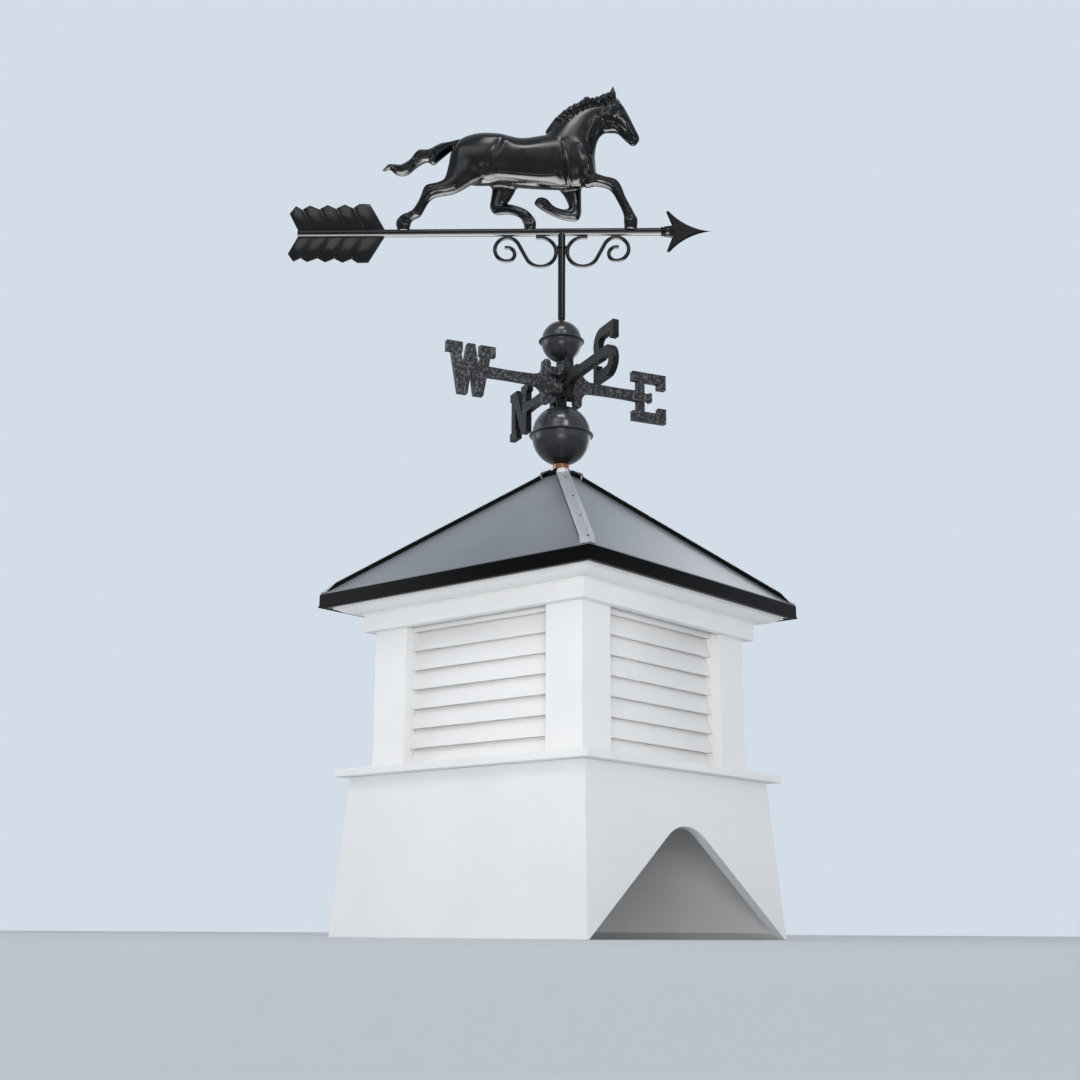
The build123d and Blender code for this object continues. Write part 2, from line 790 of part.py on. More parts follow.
# Mane: a scalloped crest along the neck
with BuildPart() as mane:
    with BuildSketch(vane_plane):
        with BuildLine():
            first, last = Vector(*mane_start), Vector(*mane_end)
            step = (last - first) / mane_locks
            bulge = step.rotate(Axis.Z, 90) / 2
            for lock in range(mane_locks):
                valley = first + step * lock
                ThreePointArc(valley, valley + step / 2 + bulge, valley + step)
            Polyline(last, last - (0, mane_depth), first + (mane_depth, -mane_depth / 2), first)
        make_face()
    extrude(amount=mane_half_thick, both=True)
forms = [trunk, neck, mane, head, tail, near_forearm, near_fore_cannon, far_fore, near_hind, far_hind, *ears]
with BuildPart() as horse:
    for form in forms:
        add(form)
    add(arrow_shaft, mode=Mode.SUBTRACT)
finish(horse, "horse")
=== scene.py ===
"""Barn cupola with a trotting-horse weathervane: finishes, formed detail, light and camera.

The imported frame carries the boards, sheet metal, castings and rods. This script gives every surface
its finish and models what the frame keeps plain: the stamped horse, the feathered fletching, the
spun balls, the moulded louvres, and the roof's folded hip caps and drip edge.
Sizes are millimetres, and mm() turns them to the scene's metres.
"""

import logging
import math
from collections.abc import Callable, Sequence
from dataclasses import dataclass, field
from enum import Enum

import bmesh
import bpy
import numpy as np
from mathutils import Matrix, Vector


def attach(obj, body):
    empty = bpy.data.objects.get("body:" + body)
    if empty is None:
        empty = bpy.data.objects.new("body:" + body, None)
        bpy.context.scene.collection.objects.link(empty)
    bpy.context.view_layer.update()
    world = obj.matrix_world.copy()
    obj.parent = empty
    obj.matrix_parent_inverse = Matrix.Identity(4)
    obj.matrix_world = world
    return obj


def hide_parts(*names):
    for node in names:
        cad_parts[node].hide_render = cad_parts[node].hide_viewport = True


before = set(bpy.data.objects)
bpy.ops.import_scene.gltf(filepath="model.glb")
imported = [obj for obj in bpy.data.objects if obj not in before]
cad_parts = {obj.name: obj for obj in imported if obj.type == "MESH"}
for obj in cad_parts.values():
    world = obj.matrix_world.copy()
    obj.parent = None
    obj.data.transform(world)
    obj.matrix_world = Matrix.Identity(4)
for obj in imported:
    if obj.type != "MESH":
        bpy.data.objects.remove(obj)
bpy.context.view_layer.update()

log = logging.getLogger("cupola")
Point = tuple[float, float]
Point3 = tuple[float, float, float]
Section = tuple[float, float, float, float, float, float]
Socket = bpy.types.NodeSocket

SIDES = ("front", "right", "back", "left")
CORNERS = ("front_left", "front_right", "back_right", "back_left")
ROOT_TWO = math.sqrt(2)
METRE = 1000.0
DOUBLES = 1e-6
BLANK_RADIUS = 10.0
WHOLE = (0.0, 1.0)
TINY = 1e-9
# The texture scale at which a pattern's patches are about a millimetre across.
FINE_SCALE = 500.0
# A Mix node's colour sockets, which come after its plain and vector ones.
MIX_ONE, MIX_OTHER, MIX_RESULT = 6, 7, 2


def mm(*values: float) -> Vector:
    """Turns sizes in millimetres to a vector in metres."""
    return Vector(values) / METRE


def quarter_turn(count: float) -> Matrix:
    """The turn round the upright axis by a count of right angles."""
    return Matrix.Rotation(math.radians(90 * count), 4, "Z")


def linear(colour: str) -> tuple[float, float, float, float]:
    """Turns an sRGB hex colour to linear RGBA.

    Args:
        colour: Six hex digits after a hash sign.

    Returns:
        Red, green, blue and an alpha of one.
    """
    shares = [int(colour[i : i + 2], 16) / 255 for i in (1, 3, 5)]
    bent = [s / 12.92 if s <= 0.04045 else ((s + 0.055) / 1.055) ** 2.4 for s in shares]
    return (*bent, 1.0)


def add_node(
    tree: bpy.types.NodeTree, kind: str, inputs: dict | None = None, **settings: object
) -> bpy.types.Node:
    """Adds one node with its settings, input values and links.

    Args:
        tree: The node tree that takes the node.
        kind: The node's type, without its leading ShaderNode.
        inputs: Input names or numbers, each with a plain value or an output socket to link.
        **settings: Properties of the node itself.

    Returns:
        The new node.
    """
    node = tree.nodes.new("ShaderNode" + kind)
    for name, value in settings.items():
        setattr(node, name, value)
    for name, value in (inputs or {}).items():
        if isinstance(value, Socket):
            tree.links.new(value, node.inputs[name])
        else:
            node.inputs[name].default_value = value
    return node


def along_curve(points: Sequence[Sequence[float]], per_span: int) -> list[list[float]]:
    """Runs a smooth curve through points of any dimension.

    Args:
        points: The points that the curve passes through.
        per_span: Steps between one point and the next.

    Returns:
        The points of the curve, its ends included.
    """
    held = [points[0], *points, points[-1]]
    curve = []
    for index in range(1, len(held) - 2):
        before, start, end, after = (np.array(p, float) for p in held[index - 1 : index + 3])
        for step in range(per_span):
            t = step / per_span
            square = (2 * before - 5 * start + 4 * end - after) * t**2
            cube = (3 * start - before - 3 * end + after) * t**3
            curve.append(0.5 * (2 * start + (end - before) * t + square + cube))
    return [list(p) for p in curve] + [list(points[-1])]


class Bench:
    """One mesh on the bench, shaped with the operators a modeller uses by hand."""

    def __init__(self, obj: bpy.types.Object, name: str) -> None:
        """Takes a new primitive to the bench under its piece's name."""
        self.obj = obj
        self.rename(name)

    @staticmethod
    def clear() -> None:
        """Leaves edit mode and deselects all, so that an operator acts on one piece alone."""
        if bpy.context.object is not None and bpy.context.object.mode != "OBJECT":
            bpy.ops.object.mode_set(mode="OBJECT")
        bpy.ops.object.select_all(action="DESELECT")

    @classmethod
    def disc(cls, name: str, sides: int, radius: float) -> "Bench":
        """Starts from a filled circle flat in the XY plane; the radius is in millimetres."""
        cls.clear()
        bpy.ops.mesh.primitive_circle_add(vertices=sides, radius=radius / METRE, fill_type="NGON")
        return cls(bpy.context.object, name)

    @classmethod
    def block(cls, name: str, low: Point3, high: Point3) -> "Bench":
        """Starts from a cube stretched between two corners in millimetres."""
        cls.clear()
        bpy.ops.mesh.primitive_cube_add(size=1, location=(mm(*low) + mm(*high)) / 2)
        piece = cls(bpy.context.object, name)
        piece.obj.scale = mm(*high) - mm(*low)
        piece.settle()
        return piece

    @classmethod
    def outline(cls, name: str, points: Sequence[Point]) -> "Bench":
        """Starts from a filled circle whose corners are dragged to an outline in the XZ plane."""
        piece = cls.disc(name, len(points), BLANK_RADIUS)
        piece.edit()
        piece.drag([(x, 0, z) for x, z in points])
        return piece

    @classmethod
    def plate(cls, name: str, points: Sequence[Point], thick: float) -> "Bench":
        """Cuts a plate to an outline in the XZ plane, its thickness centred on y = 0."""
        piece = cls.outline(name, points)
        piece.edit()
        piece.pick_all()
        bpy.ops.transform.translate(value=mm(0, -thick / 2, 0))
        piece.extrude(mm(0, thick, 0))
        piece.close()
        return piece

    @classmethod
    def sheet(cls, name: str, rows: Sequence[Sequence[Point3]]) -> "Bench":
        """Starts from a flat grid whose corners are dragged to rows of points.

        Args:
            name: The piece's name.
            rows: Rows of like length, each a row of points in millimetres.

        Returns:
            The piece, an open sheet in edit mode.
        """
        cls.clear()
        across, along = len(rows[0]) - 1, len(rows) - 1
        bpy.ops.mesh.primitive_grid_add(x_subdivisions=across, y_subdivisions=along)
        piece = cls(bpy.context.object, name)
        piece.edit()
        piece.drag([point for row in rows for point in row])
        return piece

    def rename(self, name: str) -> None:
        """Gives the object and its mesh a name."""
        self.obj.name = self.obj.data.name = name

    def take(self) -> None:
        """Selects this piece alone, in object mode, and makes it the active one."""
        self.clear()
        bpy.context.view_layer.objects.active = self.obj
        self.obj.select_set(True)

    def edit(self) -> None:
        """Opens the piece in edit mode with nothing selected."""
        self.take()
        bpy.ops.object.mode_set(mode="EDIT")
        bpy.ops.mesh.select_all(action="DESELECT")

    def pick_all(self) -> None:
        """Selects the whole mesh in edit mode."""
        bpy.ops.mesh.select_all(action="SELECT")

    def hollow(self) -> None:
        """Opens the piece in edit mode and takes its face away, leaving its edge selected."""
        self.edit()
        self.pick_all()
        bpy.ops.mesh.delete(type="ONLY_FACE")
        self.pick_all()

    def pick_verts(self, test: Callable[[bmesh.types.BMVert], bool]) -> bmesh.types.BMesh:
        """Selects the vertices that pass a test, and what lies between them.

        Args:
            test: Says whether a vertex is wanted.

        Returns:
            The mesh in edit mode.
        """
        bpy.ops.mesh.select_mode(type="VERT")
        mesh = bmesh.from_edit_mesh(self.obj.data)
        mesh.verts.ensure_lookup_table()
        for vert in mesh.verts:
            vert.select = test(vert)
        mesh.select_flush_mode()
        bmesh.update_edit_mesh(self.obj.data)
        return mesh

    def drag(self, points: Sequence[Point3]) -> None:
        """Drags the vertices, in their order, to points in millimetres."""
        for index, point in enumerate(points):
            mesh = self.pick_verts(lambda vert, wanted=index: vert.index == wanted)
            here = mesh.verts[index].co.copy()
            bpy.ops.transform.translate(value=mm(*point) - here)

    def extrude(self, move: Vector) -> None:
        """Extrudes the selection and moves it by a vector in metres."""
        bpy.ops.mesh.extrude_region_move(TRANSFORM_OT_translate={"value": move})

    def close(self) -> None:
        """Merges doubles, turns every face outward and returns to object mode."""
        self.pick_all()
        bpy.ops.mesh.remove_doubles(threshold=DOUBLES)
        bpy.ops.mesh.normals_make_consistent(inside=False)
        bpy.ops.object.mode_set(mode="OBJECT")

    def outward(self) -> None:
        """Turns every face of a joined piece outward, after doubles are merged."""
        self.edit()
        self.close()

    def spin(self, steps: int) -> None:
        """Spins the outline's edge once round the upright axis, without its face."""
        self.hollow()
        bpy.ops.mesh.spin(
            steps=steps, angle=math.tau, axis=(0, 0, 1), center=(0, 0, 0), use_auto_merge=True
        )
        self.close()

    def apply(self, kind: str, **settings: object) -> None:
        """Adds a modifier with its settings and applies it."""
        self.take()
        modifier = self.obj.modifiers.new(kind, kind)
        for name, value in settings.items():
            setattr(modifier, name, value)
        bpy.ops.object.modifier_apply(modifier=modifier.name)

    def bevel(self, width: float, degrees: float) -> None:
        """Rounds the edges that are sharper than an angle; the width is in millimetres."""
        limit = math.radians(degrees)
        self.apply("BEVEL", width=width / METRE, segments=2, limit_method="ANGLE", angle_limit=limit)

    def settle(self) -> None:
        """Applies the object's own place, turn and size to its mesh."""
        self.take()
        bpy.ops.object.transform_apply(location=True, rotation=True, scale=True)

    def put(self, place: Matrix) -> None:
        """Moves the piece by a matrix, in its mesh."""
        self.obj.matrix_world = place
        self.settle()

    def copies(self, places: Sequence[Matrix]) -> None:
        """Copies the piece to more places, each copy with its own mesh, and joins them to it."""
        made = []
        for place in places:
            self.take()
            bpy.ops.object.duplicate(linked=False)
            copy = Bench(bpy.context.object, self.obj.name + "_copy")
            copy.put(place)
            made.append(copy)
        self.join(made)

    def join(self, others: Sequence["Bench"]) -> None:
        """Joins other pieces into this one."""
        self.take()
        for other in others:
            other.obj.select_set(True)
        bpy.ops.object.join()

    def smooth(self, degrees: float) -> None:
        """Shades the piece smooth, with edges sharper than an angle left crisp."""
        self.take()
        bpy.ops.object.shade_smooth_by_angle(angle=math.radians(degrees))

    def deliver(self, body: str, finish: "Finish", *replaced: str) -> None:
        """Gives the piece its finish and its place on a body of the frame.

        Args:
            body: The body that the piece rides on.
            finish: The finish that it wears.
            *replaced: Frame nodes that the piece stands for.
        """
        self.clear()
        self.obj.data.materials.clear()
        self.obj.data.materials.append(finish.material())
        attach(self.obj, body)
        if replaced:
            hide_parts(*replaced)
        log.info("%s: %d faces, %s", self.obj.name, len(self.obj.data.polygons), finish.name)


@dataclass(frozen=True)
class Skin:
    """One material's node tree, while its finish is drawn into it."""

    tree: bpy.types.NodeTree
    shader: bpy.types.Node
    place: Socket

    def wear(self, **patterns: Socket | None) -> None:
        """Links patterns to the shader's inputs, an underscore standing for a space."""
        for name, pattern in patterns.items():
            if pattern is not None:
                self.tree.links.new(pattern, self.shader.inputs[name.replace("_", " ")])

    def noise(self, size: float, detail: float, place: Socket | None = None) -> Socket:
        """Adds a cloudy pattern whose patches are about a size in millimetres across."""
        inputs = {"Vector": place or self.place, "Scale": FINE_SCALE / size, "Detail": detail}
        return add_node(self.tree, "TexNoise", inputs).outputs["Fac"]

    def rings(self, pitch: float, **inputs: float) -> Socket:
        """Adds level rings round the upright axis, a pitch in millimetres apart."""
        values = {"Vector": self.place, "Scale": FINE_SCALE / pitch, **inputs}
        return add_node(self.tree, "TexWave", values, bands_direction="Z").outputs["Fac"]

    def spread(self, share: Socket, window: Point, reach: Point) -> Socket:
        """Maps a window of a pattern's values to a range."""
        names = ("Value", "From Min", "From Max", "To Min", "To Max")
        inputs = dict(zip(names, (share, *window, *reach)))
        return add_node(self.tree, "MapRange", inputs).outputs["Result"]

    def blend(self, share: Socket, one: str, other: str) -> Socket:
        """Mixes two hex colours by a share."""
        inputs = {0: share, MIX_ONE: linear(one), MIX_OTHER: linear(other)}
        return add_node(self.tree, "Mix", inputs, data_type="RGBA").outputs[MIX_RESULT]

    def relief(self, height: Socket, depth: float, under: Socket | None = None) -> Socket:
        """Turns a pattern to surface relief of a depth in millimetres, over another relief."""
        inputs = {"Height": height, "Distance": depth / METRE, "Strength": 1.0}
        if under is not None:
            inputs["Normal"] = under
        return add_node(self.tree, "Bump", inputs).outputs["Normal"]


@dataclass(frozen=True)
class Finish:
    """A surface finish: what the thing is made of and how its surface was made."""

    name: str
    slot: str
    colour: str
    shade: str
    roughness: float
    specular: float = 0.5
    metallic: float = 0.0
    rough_span: Point = (0.0, 0.0)
    # The clouds in its colour and gloss: their size and detail, and the window of them that shows.
    cloud: Point = (90.0, 4.0)
    window: Point = (0.35, 0.65)
    # Each layer of its relief: size, detail and depth.
    layers: tuple[Point3, ...] = ()

    def material(self) -> bpy.types.Material:
        """Makes the material the first time, and returns the same one after that."""
        known = bpy.data.materials.get(self.name)
        if known is not None:
            return known
        made = bpy.data.materials.new(self.name)
        made.use_nodes = True
        tree = made.node_tree
        tree.nodes.clear()
        levels = {
            "Roughness": self.roughness,
            "Metallic": self.metallic,
            "Specular IOR Level": self.specular,
        }
        shader = add_node(tree, "BsdfPrincipled", levels)
        add_node(tree, "OutputMaterial", {"Surface": shader.outputs["BSDF"]})
        self.pattern(Skin(tree, shader, add_node(tree, "TexCoord").outputs["Object"]))
        return made

    def pattern(self, skin: Skin) -> None:
        """Wears the clouds, from its colour to its shade and over its span of gloss, and the relief."""
        share = skin.spread(skin.noise(*self.cloud), self.window, WHOLE)
        reach = tuple(self.roughness + more for more in self.rough_span)
        skin.wear(
            Base_Color=skin.blend(share, self.colour, self.shade),
            Roughness=skin.spread(share, WHOLE, reach),
            Normal=self.emboss(skin),
        )

    def emboss(self, skin: Skin) -> Socket | None:
        """Lays the layers of relief one over another; a finish with no layers stays flat."""
        relief = None
        for size, detail, depth in self.layers:
            relief = skin.relief(skin.noise(size, detail), depth, relief)
        return relief


@dataclass(frozen=True)
class CellularVinyl(Finish):
    """Cellular PVC trim board, extruded: satin white and faintly cloudy, with a fine skin."""

    rough_span: Point = (-0.05, 0.06)
    layers: tuple[Point3, ...] = ((120.0, 0.0, 0.12), (1.6, 2.0, 0.015))


@dataclass(frozen=True)
class CoatedSheet(Finish):
    """Coil-coated aluminium sheet, brake-folded: slow waves bend its gleam, over fine orange peel."""

    rough_span: Point = (-0.03, 0.05)
    cloud: Point = (160.0, 1.0)
    layers: tuple[Point3, ...] = ((160.0, 0.0, 0.5), (1.8, 0.0, 0.004))


@dataclass(frozen=True)
class StampedSheet(Finish):
    """Sheet metal stamped and brazed, under satin black paint: shallow dimples with soft gleams."""

    rough_span: Point = (-0.05, 0.08)
    cloud: Point = (30.0, 4.0)
    layers: tuple[Point3, ...] = ((24.0, 0.0, 0.04), (4.0, 0.0, 0.006))


@dataclass(frozen=True)
class SandCasting(Finish):
    """Sand-cast aluminium under black paint: the mould's grit, a little coarse so that it shows."""

    rough_span: Point = (0.0, -0.14)
    cloud: Point = (2.6, 3.0)
    window: Point = (0.48, 0.68)
    layers: tuple[Point3, ...] = ((2.6, 3.0, 0.9), (1.04, 2.0, 0.3))


@dataclass(frozen=True)
class CopperTube(Finish):
    """Copper tube, drawn and left bare: bright where handled, browner where it has tarnished."""

    rough_span: Point = (0.0, 0.2)
    cloud: Point = (9.0, 4.0)
    window: Point = (0.45, 0.7)
    ring: float = 1.4
    ring_deep: float = 0.02

    def emboss(self, skin: Skin) -> Socket:
        """Cuts the fine rings that the turning left."""
        return skin.relief(skin.rings(self.ring, Distortion=0.6), self.ring_deep)


@dataclass(frozen=True)
class SpunGloss(Finish):
    """Spun metal under gloss black paint: deep and smooth, its black lifted to a dark grey as a painted
    reflection, in faint lighter clouds.
    """

    rough_span: Point = (-0.03, 0.08)
    cloud: Point = (26.0, 4.0)
    ring: float = 2.2
    ring_deep: float = 0.003

    def emboss(self, skin: Skin) -> Socket:
        """Adds the faint spinning rings, which run level round the rod."""
        return skin.relief(skin.rings(self.ring, Distortion=0.8, Detail=1.0), self.ring_deep)


@dataclass(frozen=True)
class DrawnRod(Finish):
    """Drawn steel rod under satin black paint: straight and even, with faint draw lines."""

    rough_span: Point = (-0.04, 0.06)
    cloud: Point = (22.0, 4.0)
    line: Point = (1.5, 1.0)
    line_stretch: float = 0.02
    line_deep: float = 0.03

    def emboss(self, skin: Skin) -> Socket:
        """Draws the lines along the rod."""
        along = {"Vector": skin.place, "Scale": (1.0, 1.0, self.line_stretch)}
        stretched = add_node(skin.tree, "Mapping", along).outputs["Vector"]
        return skin.relief(skin.noise(*self.line, stretched), self.line_deep)


@dataclass(frozen=True)
class PaleFloor(Finish):
    """Matt studio floor: one pale tone with the slightest cloud in it."""

    cloud: Point = (900.0, 4.0)


class Finishes(Enum):
    """The finishes of the cupola."""

    WHITE_TRIM = CellularVinyl("white_cellular_vinyl", "white_trim", "#f4f3f1", "#efeeec", 0.42)
    # The dark sheet's colour is lightened to grey here: partly its own coat, partly a painted sky
    # reflection.
    ROOF_SHEET = CoatedSheet("grey_coated_roof_sheet", "roof_sheet", "#5d5f64", "#7b7d82", 0.3)
    # A pale copy of the dark roof sheet: its colour is a painted sheen where the caps' tops catch the
    # sky.
    HIP_CAP = CoatedSheet("pale_coated_cap_sheet", "roof_sheet", "#a6a8ad", "#b4b6ba", 0.26)
    DRIP_EDGE = CoatedSheet("black_coated_edge_sheet", "roof_sheet", "#060607", "#0a0a0b", 0.4, 0.04)
    COPPER = CopperTube("bare_copper_tube", "copper", "#946850", "#4a3023", 0.24, metallic=1.0)
    # The balls' black is lifted to a dark grey: a painted reflection of the roof below.
    GLOSS_BLACK = SpunGloss("gloss_black_spun_metal", "gloss_black", "#1c1c1e", "#262628", 0.2, 0.48)
    ROD = DrawnRod("black_drawn_rod", "rod_steel", "#0b0b0c", "#141416", 0.28, 0.3)
    CASTING = SandCasting("black_sand_casting", "black_casting", "#09090b", "#242426", 0.44, 0.18)
    # A lit copy of the black casting: its paler base and bright grit are painted sheen and glints.
    PALE_CASTING = SandCasting("worn_sand_casting", "black_casting", "#1a1a1c", "#5f5f62", 0.44, 0.3)
    VANE = StampedSheet("satin_black_stamped_sheet", "vane_finish", "#040405", "#08080a", 0.2, 0.22)
    VANE_PLATE = StampedSheet("dull_black_cast_plate", "vane_finish", "#040405", "#08080a", 0.34, 0.1)
    FLOOR = PaleFloor("matt_studio_floor", "", "#d4d7da", "#cfd2d5", 0.9, 0.1)


@dataclass
class Carried:
    """Dresses nodes of the frame whose shape is already right."""

    edge: float = 0.9
    sharp: float = 25.0
    weld: float = 0.01
    flat: float = 0.5

    def dress(self, name: str, finish: Finishes, rounded: bool = True) -> None:
        """Gives a frame node its finish and, where wanted, softly rounded edges.

        Args:
            name: The node's name.
            finish: The finish that it wears.
            rounded: Whether its sharp edges are eased.
        """
        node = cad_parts[name]
        if not node.material_slots:
            node.data.materials.append(None)
        for place in node.material_slots:
            place.material = finish.value.material()
        if rounded:
            weld = node.modifiers.new("merged_seams", "WELD")
            weld.merge_threshold = self.weld / METRE
            flat = node.modifiers.new("flat_faces", "DECIMATE")
            flat.decimate_type = "DISSOLVE"
            flat.angle_limit = math.radians(self.flat)
            ease = node.modifiers.new("eased_edges", "BEVEL")
            ease.width = self.edge / METRE
            ease.segments = 2
            ease.limit_method = "ANGLE"
            ease.angle_limit = math.radians(self.sharp)
            ease.harden_normals = True
        log.info("%s: carried over, %s", name, finish.value.name)


@dataclass
class TrimBody:
    """The white body: base, ledge, corner posts, frieze, crown and soffit."""

    boards: Carried = field(default_factory=Carried)

    def dress(self) -> None:
        """Finishes every white board."""
        boards = self.boards
        for side in SIDES:
            for name in (f"base_{side}_wall", f"ledge_{side}", f"frieze_{side}"):
                boards.dress(name, Finishes.WHITE_TRIM)
            boards.dress(f"crown_{side}", Finishes.WHITE_TRIM, rounded=False)
        for corner in CORNERS:
            boards.dress(f"post_{corner}", Finishes.WHITE_TRIM)
        boards.dress("soffit", Finishes.WHITE_TRIM)


@dataclass
class Louvres:
    """The four moulded louvre panels: two stiles, a lipped head and seven steep blades."""

    face: float = 214.7
    depth: float = 20.0
    half_width: float = 192.0
    stile_inner: float = 160.0
    foot: float = 282.5
    top: float = 570.0
    blades: int = 7
    pitch: float = 34.0
    blade_thick: float = 7.0
    blade_rise: float = 39.0
    blade_lean: float = 12.0
    blade_set: float = 0.5
    head_seat: float = 9.0
    housing: float = 1.0
    edge: float = 0.8

    def build(self, name: str) -> Bench:
        """Builds one panel, its face towards +X, of profiles drawn as (out, up)."""
        back, out = self.face - self.depth, self.face - self.blade_set
        head, lip = self.foot + self.blades * self.pitch, out - self.blade_thick
        seat, width = head + self.head_seat, 2 * (self.stile_inner + self.housing)
        face_edge = [(self.face, self.top), (self.face, head)]
        rail = [(back, seat), (back, self.top), *face_edge, (lip, head), (lip, seat)]
        panel = Bench.plate(name, rail, width)
        bars = []
        for index in range(self.blades):
            low = self.foot + self.pitch * index
            high, lean = low + self.blade_rise, self.blade_lean
            corners = [(out, low), (out - lean, high), (lip - lean, high), (lip, low)]
            bars.append(Bench.plate(f"blade_{index}", corners, width))
        for side in (-1, 1):
            one, other = sorted((side * self.stile_inner, side * self.half_width))
            bars.append(Bench.block("stile", (back, one, self.foot), (self.face, other, self.top)))
        panel.join(bars)
        panel.bevel(self.edge, degrees=30)
        panel.smooth(degrees=30)
        return panel

    def dress(self) -> None:
        """Builds and finishes the panel of each side."""
        for index, side in enumerate(SIDES):
            panel = self.build(f"louvre_{side}_moulded")
            panel.put(quarter_turn(index - 1))
            panel.deliver("cupola", Finishes.WHITE_TRIM.value, f"louvre_{side}")


@dataclass
class SheetRoof:
    """The hipped sheet roof: panels, folded hip caps with rivets, peak cap and drip edge."""

    eave_half: float = 304.6
    eave_top: float = 593.4
    eave_bottom: float = 568.5
    apex: float = 842.0
    box_start: float = 27.0
    box_inset: float = 0.6
    box_short: float = 0.4
    bedding: float = 0.5
    wide_flange: float = 12.4
    narrow_flange: float = 10.0
    wall_high: float = 9.4
    ridge_high: float = 2.6
    sheet: float = 0.9
    cap_edge: float = 0.3
    cap_gap: float = 0.1
    fold_high: float = 1.5
    fold_wide: float = 1.8
    fold_at: float = 2.4
    fold_slope: float = 0.1
    # Rows of the cap at the peak: reach, its growth aside, share of the width, height, droop aside.
    tab: tuple[float, ...] = (13.0, 0.1, 0.42, 838.2, 0.2)
    shoulder: tuple[float, ...] = (26.8, 0.0, 0.8, 829.9, 0.1)
    # Rows where the cap bends to the hip and where it lies on it: reach and rise.
    bends: tuple[Point, ...] = ((28.4, 0.6), (36.0, 0.0))
    rivet_radius: float = 1.9
    rivet_offset: float = 0.3
    rivet_spots: tuple[float, ...] = (88.0, 224.0, 352.0, 472.0)
    rivet_steps: tuple[Point, ...] = ((0.9, 0.86), (0.6, 0.6))
    # Out from the eave and up from its foot: the return, the kicked lip and the face.
    drip_line: tuple[Point, ...] = (
        (-7.0, 0.6), (-7.0, -0.9), (1.8, -0.9), (2.6, -0.2), (2.4, 0.8),
        (1.2, 3.4), (1.1, 22.3), (0.5, 23.3), (-1.0, 23.5), (-1.0, 0.6),
    )
    drip_edge: float = 0.4
    foot_length: float = 12.0
    foot_lap: float = 0.2
    foot_share: float = 0.12

    @property
    def fall(self) -> float:
        """How far the roof drops for each millimetre that a point lies beside the hip."""
        return (self.apex - self.eave_top) / self.eave_half / ROOT_TWO

    def cap_height(self, offset: float, share: float = 1.0) -> float:
        """The height of the cap's top over the hip, at a sideways offset from it.

        Args:
            offset: The distance from the hip, negative on the wide flange's side.
            share: How much of its full rise the cap has there, less where it tapers at the eave.

        Returns:
            The height in millimetres.
        """
        flange = self.wide_flange if offset < 0 else self.narrow_flange
        edge, ridge = self.wall_high * share - flange * self.fall, self.ridge_high * share
        return ridge + (edge - ridge) * abs(offset) / flange

    def hip_point(self, reach: float, offset: float, lift: float) -> Point3:
        """A point beside the hip, its reach from the rod square to an eave, its lift over the hip."""
        aside = offset / ROOT_TWO
        hip = self.apex - reach * (self.apex - self.eave_top) / self.eave_half
        return (reach + aside, aside - reach, hip + lift)

    def eave_reach(self, offset: float) -> float:
        """The reach at which a line beside the hip meets the eave."""
        return self.eave_half - abs(offset) / ROOT_TWO

    def repeat(self, piece: Bench, degrees: float) -> Bench:
        """Repeats a piece of the first hip on the other three, and shades it."""
        piece.copies([quarter_turn(count) for count in (1, 2, 3)])
        piece.outward()
        piece.smooth(degrees)
        return piece

    def build_boxes(self) -> Bench:
        """Folds the raised box under each hip cap, with its upright dark walls."""
        wide, narrow = -self.wide_flange + self.box_inset, self.narrow_flange - self.box_inset
        rows = []
        for short, share in ((None, 1.0), (self.foot_length, 1.0), (self.box_short, self.foot_share)):
            section = [
                (wide, wide * self.fall - self.bedding),
                *((offset, self.cap_height(offset, share)) for offset in (wide, 0.0, narrow)),
                (narrow, -narrow * self.fall - self.bedding),
                (0.0, -self.bedding),
            ]
            row = []
            for offset, lift in section:
                reach = self.box_start if short is None else self.eave_reach(offset) - short
                row.append(self.hip_point(reach, offset, lift))
            rows.append([*row, row[0]])
        boxes = Bench.sheet("hip_cap_boxes", rows)
        boxes.pick_all()
        bpy.ops.mesh.remove_doubles(threshold=DOUBLES)
        bpy.ops.mesh.select_mode(type="EDGE")
        bpy.ops.mesh.select_all(action="DESELECT")
        bpy.ops.mesh.select_non_manifold(extend=False, use_boundary=True)
        bpy.ops.mesh.edge_face_add()
        boxes.close()
        return self.repeat(boxes, degrees=20)

    def build_caps(self) -> Bench:
        """Folds the four hip caps: a wide flange, a standing fold, a narrow flange and a tab."""
        fold_end = self.fold_at + self.fold_wide
        line = [
            (-self.wide_flange, -self.bedding),
            (-self.wide_flange, 0.0),
            (0.0, 0.0),
            (self.fold_at, 0.0),
            (self.fold_at + self.fold_slope, self.fold_high),
            (fold_end, self.fold_high),
            (fold_end + self.fold_slope, 0.0),
            (self.narrow_flange, 0.0),
            (self.narrow_flange, -self.bedding),
        ]
        rows = []
        for reach, growth, share, high, droop in (self.tab, self.shoulder):
            row = []
            for offset, _ in line:
                far, aside = abs(offset), offset * share / ROOT_TWO
                out = reach + far * growth
                row.append((out + aside, aside - out, high - droop * far))
            rows.append(row)
        tops, feet = (
            [(at, self.cap_height(at, share) + lift + self.cap_gap) for at, lift in line]
            for share in (1.0, self.foot_share)
        )
        for reach, rise in self.bends:
            rows.append([self.hip_point(reach, at, lift + rise) for at, lift in tops])
        for short, points in ((self.foot_length, tops), (-self.foot_lap, feet)):
            rows.append([self.hip_point(self.eave_reach(at) - short, at, lift) for at, lift in points])
        caps = Bench.sheet("hip_caps_folded", rows)
        caps.close()
        caps.apply("SOLIDIFY", thickness=self.sheet / METRE, offset=1.0)
        caps.bevel(self.cap_edge, degrees=30)
        return self.repeat(caps, degrees=30)

